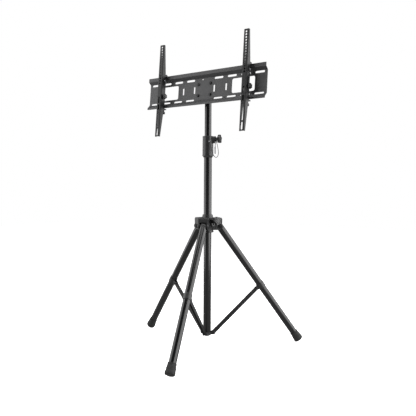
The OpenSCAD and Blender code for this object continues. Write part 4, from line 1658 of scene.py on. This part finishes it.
@dataclass
class Leg(Maker):
    """One leg: its tube, end cap, strap, rubber boot and brace."""

    side: str = "front"
    tube_radius: float = 16.0
    boot_top: float = 34.0
    boot_end: float = 10.7
    boot_radius: float = 21.0
    lip_radius: float = 18.3
    lip_end: float = 29.5
    ribs: int = 3
    rib_pitch: float = 5.0
    strap_half: float = 9.1
    rivet: HeadShape = HeadShape(24, 10.0 * MM, 2.0 * MM, 0.8 * MM, shank=6.0 * MM, shank_length=9.1 * MM)

    def build(self) -> None:
        """Builds the pieces of one leg."""
        side, body = self.side, f"leg_{self.side}"
        self.soften(f"leg_tube_{side}", body, TUBE_COAT, 0.25 * MM)
        self.soften(f"leg_cap_{side}", body, MOULDED, 0.5 * MM)
        strap = moulded(f"leg_strap_{side}_shape", (node_copy(self.stand, f"leg_strap_{side}"),), 0.6 * MM, 2)
        self.show(strap, body, MOULDED, f"leg_strap_{side}")
        self.soften(f"brace_{side}", f"brace_body_{side}", BRACE_COAT, 0.4 * MM)
        hinge, pin = self.stand.pivot(f"brace_{side}_fold"), self.stand.axis(f"brace_{side}_fold")
        seats = [(hinge + pin * way * self.strap_half * MM, pin * way) for way in (1, -1)]
        self.fasten(f"strap_rivet_heads_{side}", body, RIVET_BLACK, self.rivet, seats, f"strap_rivet_{side}")
        self._boot()

    def _boot(self) -> None:
        """Builds the rubber boot: a lipped top, shallow ribs, a flared foot and a recessed sole."""
        side = self.side
        place = self.stand.leg(side)
        _, high = self.stand.extent(f"leg_tube_{side}", place)
        start = high.z / MM + 6.0
        profile = rounded_profile([(r * MM, (start + z) * MM, f * MM) for r, z, f in self._boot_corners()], 5)
        boot = smooth(add_piece(f"foot_{side}_boot", lathe([*profile, profile[0]], 72), place))
        self.show(boot, f"leg_{side}", RUBBER, f"foot_{side}")

    def _boot_corners(self) -> list[Point3]:
        """Lists the boot's profile.

        Returns:
            (radius, height, rounding) points in millimetres, the heights from just past the tube's end.
        """
        tube, lip, wide, end = self.tube_radius + 0.1, self.lip_radius, self.boot_radius, self.boot_end
        corners = [(tube, -self.boot_top, 0.3), (lip, -self.boot_top, 0.7), (lip, -self.lip_end - 1.0, 0.6)]
        corners += [(lip - 0.6, -self.lip_end, 0.4), (lip - 0.3, -22.0, 0)]
        for k in range(self.ribs):
            start = -21.0 + self.rib_pitch * k
            base = lip - 0.1 + 0.55 * k
            corners += [(base, start, 0.2), (base + 0.8, start + 0.8, 0.5), (base + 0.8, start + 2.6, 0.5)]
            corners += [(base + 0.2, start + 3.4, 0.3)]
        corners += [(wide - 1.1, -5.0, 2.0), (wide, -0.5, 3.0), (wide, end, 5.0)]
        corners += [(wide - 8.0, end, 0.8), (wide - 9.0, end - 1.5, 0.8), (0, end - 1.5, 0)]
        return [*corners, (0, 2.0, 0), (tube, 2.0, 1.0)]


# ---------------------------------------------------------------- head


@dataclass
class Head(Maker):
    """Tilting head: the bracket on the mast and the long rail plate."""

    width: float = 640.0
    section: tuple[Point2, ...] = ((-44, 74), (-44, 58), (-30, 46), (-30, -50), (-44, -66), (-44, -74))
    sheet: float = 2.0
    bend: float = 3.2
    web_run: int = 2
    corner: float = 2.5
    slot_drops: Point2 = (5.5, 95.5)
    slots: tuple[float, ...] = tuple(77 + 69 * k for k in range(4))
    slot_size: Point2 = (46.0, 9.0)
    uprights: Point2 = (54.0, 117.0)
    upright_size: Point2 = (30.0, 8.0)
    window_place: float = 204.0
    window_size: Point2 = (114.0, 63.0)
    window_corner: float = 8.0
    middle_drop: float = 50.5
    hang_hole: float = 6.0
    hang_place: Point2 = (5.5, -10.0)
    bolt_x: float = 33.0
    bolt_z: float = 25.0
    bolt_drop: float = 4.5
    bolt_seats: Point2 = (-30.1, -24.9)
    bracket_half: float = 18.5
    tilt_levels: Point2 = (0.0, -24.0)
    plate_bolt: HeadShape = HeadShape(
        6, 11.0 * MM, 4.0 * MM, 0.6 * MM, washer=14.0 * MM, washer_height=0.9 * MM,
        shank=6.0 * MM, shank_length=11.5 * MM,
    )
    plate_nut: HeadShape = HeadShape(6, 10.0 * MM, 5.0 * MM, 0.6 * MM)
    tilt_bolt: HeadShape = HeadShape(6, 13.0 * MM, 5.2 * MM, 0.7 * MM, shank=8.0 * MM, shank_length=45.0 * MM)
    tilt_nut: HeadShape = HeadShape(6, 13.0 * MM, 6.3 * MM, 0.7 * MM)

    def build(self) -> None:
        """Builds the pieces of the head."""
        self.soften("tilt_bracket", "head", ARM_COAT, 0.5 * MM)
        self._plate()
        head, x = self.stand.head, self.bracket_half
        front = head.to_3x3() @ Vector((0, -1, 0))
        head_y, nut_y = self.bolt_seats
        spots = [(a * self.bolt_x, b * self.bolt_z - self.bolt_drop) for a in (1, -1) for b in (1, -1)]
        heads = [(head @ mm(px, head_y, pz), front) for px, pz in spots]
        nuts = [(head @ mm(px, nut_y, pz), -front) for px, pz in spots]
        self.fasten("plate_bolt_heads", "head", BLACK_STEEL, self.plate_bolt, heads, "plate_bolts")
        self.fasten("plate_nut_set", "head", ZINC, self.plate_nut, nuts, "plate_nuts")
        pivot = self.stand.pivot("head_tilt")
        across = Vector((1, 0, 0))
        levels = [pivot + mm(0, 0, z) for z in self.tilt_levels]
        self.fasten(
            "tilt_bolt_heads", "mast_upper", ZINC, self.tilt_bolt,
            [(p + across * (x + 0.2) * MM, across) for p in levels], "tilt_bolts",
        )
        self.fasten(
            "tilt_nut_set", "mast_upper", ZINC, self.tilt_nut,
            [(p - across * (x + 0.4) * MM, -across) for p in levels], "tilt_nuts",
        )

    def _plate(self) -> None:
        """Presses the rail plate from one sheet with its slots and windows."""
        fold = Fold([(y * MM, z * MM) for y, z in self.section], self.bend * MM, self.sheet * MM)
        half = self.width / 2 * MM
        rim = window_loop((fold.width() / 2, 0), fold.width(), 2 * half, self.corner * MM)
        holes = []
        for way in (1, -1):
            for drop in self.slot_drops:
                across = fold.flat(self.web_run, drop * MM)
                long, wide = (size * MM for size in self.slot_size)
                holes += [turned(slot_loop((way * x * MM, across), long, wide)) for x in self.slots]
            middle = fold.flat(self.web_run, self.middle_drop * MM)
            long, wide = (size * MM for size in self.upright_size)
            holes += [window_loop((middle, way * x * MM), long, wide, 1.0 * MM, 3) for x in self.uprights]
            wide, high = (size * MM for size in self.window_size)
            place = (middle, way * self.window_place * MM)
            holes.append(window_loop(place, high, wide, self.window_corner * MM, 6))
        drop, along = self.hang_place
        hole = self.hang_hole * MM
        holes.append(slot_loop((fold.flat(self.web_run, drop * MM), along * MM), hole, hole))

        def to_space(point: Vector, along: float) -> Vector:
            """Returns the place in the head's frame."""
            return Vector((along, point.x, point.y))

        bm = pressed_sheet(fold, rim, holes, to_space)
        plate = smooth(add_piece("rail_plate_shape", bm, self.stand.head))
        self.show(plate, "head", PLATE_COAT, "rail_plate")


# ---------------------------------------------------------------- display arms


@dataclass
class DisplayArm(Maker):
    """One upright arm with its hook, its bolts, its tilt knob and its thumb screw."""

    side: str = "left"
    places: tuple[tuple[str, float], ...] = (("left", -223.0), ("right", 236.0))
    half: float = 12.0
    face_y: float = -75.0
    depth: float = 23.0
    end_depth: float = 9.0
    bend: float = 2.6
    sheet: float = 2.0
    top: float = 215.0
    length: float = 425.0
    waist: Point2 = (-90.0, 85.0)
    hole: float = 8.5
    first_hole: float = 11.0
    pitch: float = 12.0
    count: int = 15
    slots: tuple[Point2, ...] = ((-25, -56), (-61, -88), (-99, -167), (-173, -205))
    slot_width: float = 8.0
    pivot_y: float = -58.0
    pivot_z: float = -23.0
    guide: Point2 = (-56.5, 48.0)
    screw_place: Point2 = (-37.0, -90.0)
    screw_radius: float = 2.5
    screw_length: float = 24.5
    knob: LobedKnob = LobedKnob(24.0 * MM, 8.0 * MM, 6, edge=1.6 * MM, steps=144)
    thumb: LobedKnob = LobedKnob(
        12.0 * MM, 10.0 * MM, 16, core=0.88, lobe=0.12, neck=0.6, neck_depth=0.6 * MM, edge=1.0 * MM
    )
    tilt_bolt: HeadShape = HeadShape(6, 13.0 * MM, 5.3 * MM, 0.7 * MM, shank=8.0 * MM, shank_length=34.2 * MM)
    guide_bolt: HeadShape = HeadShape(
        6, 10.0 * MM, 4.0 * MM, 0.5 * MM, shank=6.0 * MM, shank_length=12.1 * MM
    )

    def build(self) -> None:
        """Builds the pieces of one arm."""
        side, x = self.side, dict(self.places)[self.side]
        head = self.stand.head
        across = head.to_3x3() @ Vector((1, 0, 0))
        self._channel(x)
        self.soften(f"hook_{side}", f"carrier_{side}", ARM_COAT, 0.4 * MM)
        pivot = (self.pivot_y, self.pivot_z)
        bolts, name = [(head @ mm(x - self.half - 0.7, *pivot), -across)], f"tilt_bolt_head_{side}"
        self.fasten(name, f"carrier_{side}", ZINC, self.tilt_bolt, bolts, f"tilt_bolt_{side}")
        guides = [(head @ mm(x + way * (self.half + 0.1), *self.guide), across * way) for way in (1, -1)]
        body = f"arm_body_{side}"
        self.fasten(f"guide_bolt_heads_{side}", body, ZINC, self.guide_bolt, guides, f"guide_bolt_{side}")
        place = self.stand.knob(f"tilt_knob_{side}_turn") @ Matrix.Translation((0, 0, (self.half + 5) * MM))
        knob = self.knob.build(f"tilt_knob_{side}_shape", place)
        self.show(knob, f"tilt_knob_body_{side}", KNOB, f"tilt_knob_{side}")
        self._thumb_screw(x)

    def _thumb_screw(self, x: float) -> None:
        """Builds the knurled screw under the rail's lower lip.

        Args:
            x: the arm's place along the rail.
        """
        side = self.side
        down = Matrix.Rotation(math.pi, 4, "X")
        place = self.stand.head @ Matrix.Translation(mm(x, *self.screw_place)) @ down
        grip = self.thumb.build(f"thumb_grip_{side}", place)
        radius, low, high = self.screw_radius * MM, 0.5 * MM, -self.screw_length * MM
        shank = rounded_profile(((0, low, 0), (radius, low, 0), (radius, high, 0.6 * MM), (0, high, 0)))
        stem = smooth(add_piece(f"lock_screw_stem_{side}", lathe(shank, 24), place))
        self.show(stem, f"latch_{side}", ZINC_DARK)
        self.show(grip, f"latch_{side}", BLACK_STEEL, f"lock_screw_{side}")

    def _channel(self, x: float) -> None:
        """Folds the arm from one sheet with its row of holes and its slots.

        Args:
            x: the arm's place along the rail.
        """
        side = self.side
        back = self.face_y + self.depth
        corners = ((-self.half, back), (-self.half, self.face_y), (self.half, self.face_y), (self.half, back))
        fold = Fold([(a * MM, b * MM) for a, b in corners], self.bend * MM, self.sheet * MM)
        wide, cut = fold.width(), (self.depth - self.end_depth) * MM
        top, low = self.top * MM, (self.top - self.length) * MM
        waist = [z * MM for z in self.waist]
        rim = [(cut, top), (0, waist[1]), (0, waist[0]), (cut, low)]
        rim += [(wide - cut, low), (wide, waist[0]), (wide, waist[1]), (wide - cut, top)]
        middle = fold.flat(1, self.half * MM)
        holes = [
            slot_loop((middle, top - (self.first_hole + self.pitch * k) * MM), self.hole * MM, self.hole * MM)
            for k in range(self.count)
        ]
        for high_end, low_end in self.slots:
            size = ((high_end - low_end) * MM, self.slot_width * MM)
            holes.append(turned(slot_loop(((high_end + low_end) / 2 * MM, middle), *size)))

        def to_space(point: Vector, along: float) -> Vector:
            """Returns the place in the head's frame."""
            return Vector((x * MM + point.x, point.y, along))

        bm = pressed_sheet(fold, rim, holes, to_space)
        arm = smooth(add_piece(f"arm_{side}_channel", bm, self.stand.head))
        self.show(arm, f"arm_body_{side}", ARM_COAT, f"arm_{side}")


# ---------------------------------------------------------------- studio


@dataclass(frozen=True)
class Panel:
    """A large soft light that stands upright and faces the stand."""

    name: str
    turn: float
    distance: float
    width: float
    height: float
    middle: float
    radiance: float


@dataclass
class Studio:
    """Camera, floor and soft light."""

    view_turn: float = 36.4
    camera_place: Point3 = (1.5037, -1.9155, 0.712)
    camera_roll: float = 0.005
    lens: float = 47.3
    sensor: float = 36.0
    shift: Point2 = (0.0006, -0.0519)
    panels: tuple[Panel, ...] = (
        Panel("panel_right", 78.0, 2.4, 4.3, 3.0, 1.5, 3.8),
        Panel("panel_left", -93.0, 2.4, 3.8, 3.0, 1.5, 2.4),
    )
    top_height: float = 3.2
    top_size: float = 3.0
    top_radiance: float = 2.4
    floor_size: float = 14.0
    floor_glow: float = 0.97
    ambient_above: float = 0.09
    ambient_below: float = 0.55

    def build_camera(self) -> None:
        """Makes the camera."""
        data = bpy.data.cameras.new("camera")
        data.lens, data.sensor_width = self.lens, self.sensor
        data.shift_x, data.shift_y = self.shift
        data.clip_start, data.clip_end = 0.05, 60.0
        camera = bpy.data.objects.new("camera", data)
        bpy.context.scene.collection.objects.link(camera)
        turn = Matrix.Rotation(math.radians(self.view_turn), 4, "Z") @ Matrix.Rotation(math.pi / 2, 4, "X")
        roll = Matrix.Rotation(self.camera_roll, 4, "Z")
        camera.matrix_world = Matrix.Translation(self.camera_place) @ turn @ roll
        bpy.context.scene.camera = camera

    def build_light(self, middle: Vector) -> None:
        """Makes the floor, the light panels and the pale surroundings.

        Args:
            middle: the point on the floor that the panels face.
        """
        bpy.context.scene.view_settings.view_transform = "Standard"
        self._floor()
        self._surroundings()
        for panel in self.panels:
            a = math.radians(self.view_turn + panel.turn)
            away = Vector((math.sin(a), -math.cos(a), 0))
            place = middle + away * panel.distance + Vector((0, 0, panel.middle))
            self._area(panel.name, place, -away, (panel.width, panel.height), panel.radiance)
        above, down = middle + Vector((0, 0, self.top_height)), Vector((0, 0, -1))
        self._area("panel_top", above, down, (self.top_size, self.top_size), self.top_radiance)

    @staticmethod
    def _area(name: str, place: Vector, aim: Vector, size: Point2, radiance: float) -> None:
        """Makes one area light.

        Args:
            name: its name.
            place: its middle.
            aim: the direction that it shines in.
            size: its width and height.
            radiance: how bright its face is.
        """
        data = bpy.data.lights.new(name, "AREA")
        data.shape = "RECTANGLE"
        data.size, data.size_y = size
        data.energy = radiance * math.pi * size[0] * size[1]
        lamp = bpy.data.objects.new(name, data)
        bpy.context.scene.collection.objects.link(lamp)
        lamp.matrix_world = Matrix.Translation(place) @ aim.to_track_quat("-Z", "Y").to_matrix().to_4x4()

    def _floor(self) -> None:
        """Makes the pale floor."""
        bm = bmesh.new()
        half = self.floor_size / 2
        corners = ((-half, -half, 0), (half, -half, 0), (half, half, 0), (-half, half, 0))
        bm.faces.new([bm.verts.new(p) for p in corners])
        floor = add_piece("studio_floor", bm)
        material = bpy.data.materials.new("pale_floor")
        material.use_nodes = True
        shader = material.node_tree.nodes["Principled BSDF"]
        shader.inputs["Base Color"].default_value = (0.93, 0.93, 0.93, 1.0)
        shader.inputs["Roughness"].default_value = 0.9
        shader.inputs["Emission Color"].default_value = (1.0, 1.0, 1.0, 1.0)
        shader.inputs["Emission Strength"].default_value = self.floor_glow
        floor.data.materials.append(material)
        floor.visible_diffuse = floor.visible_glossy = False

    def _surroundings(self) -> None:
        """Makes the surroundings: white behind the stand, dim where they light it."""
        world = bpy.data.worlds.new("surroundings")
        world.use_nodes = True
        bpy.context.scene.world = world
        graph = Graph(world.node_tree)
        way = graph.add("ShaderNodeTexCoord").outputs["Generated"]
        height = graph.add("ShaderNodeSeparateXYZ", {"Vector": way}).outputs["Z"]
        below = graph.ramp(height, 0.02, -0.12)
        dim, lit = ((*[share] * 3, 1.0) for share in (self.ambient_above, self.ambient_below))
        around = graph.mix(below, dim, lit)
        seen = graph.add("ShaderNodeLightPath").outputs["Is Camera Ray"]
        shade = graph.mix(seen, around, (1.0, 1.0, 1.0, 1.0))
        backdrop = world.node_tree.nodes["Background"]
        world.node_tree.links.new(shade, backdrop.inputs["Color"])


# ---------------------------------------------------------------- main


def main() -> None:
    """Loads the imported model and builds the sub-assemblies around it."""
    logging.basicConfig(level=logging.INFO, format="%(name)s: %(message)s")
    stand = Stand(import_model())
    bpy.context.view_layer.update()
    studio = Studio()
    studio.build_camera()
    kit = (stand, Wardrobe(), FastenerTree())
    Tether(*kit).build()
    Mast(*kit).build()
    HeightClamp(*kit).build()
    Crown(*kit).build()
    for side in LEGS:
        Leg(*kit, side=side).build()
    Head(*kit).build()
    for side in SIDES:
        DisplayArm(*kit, side=side).build()
    studio.build_light(stand.mast)


if __name__ == "__main__":
    main()
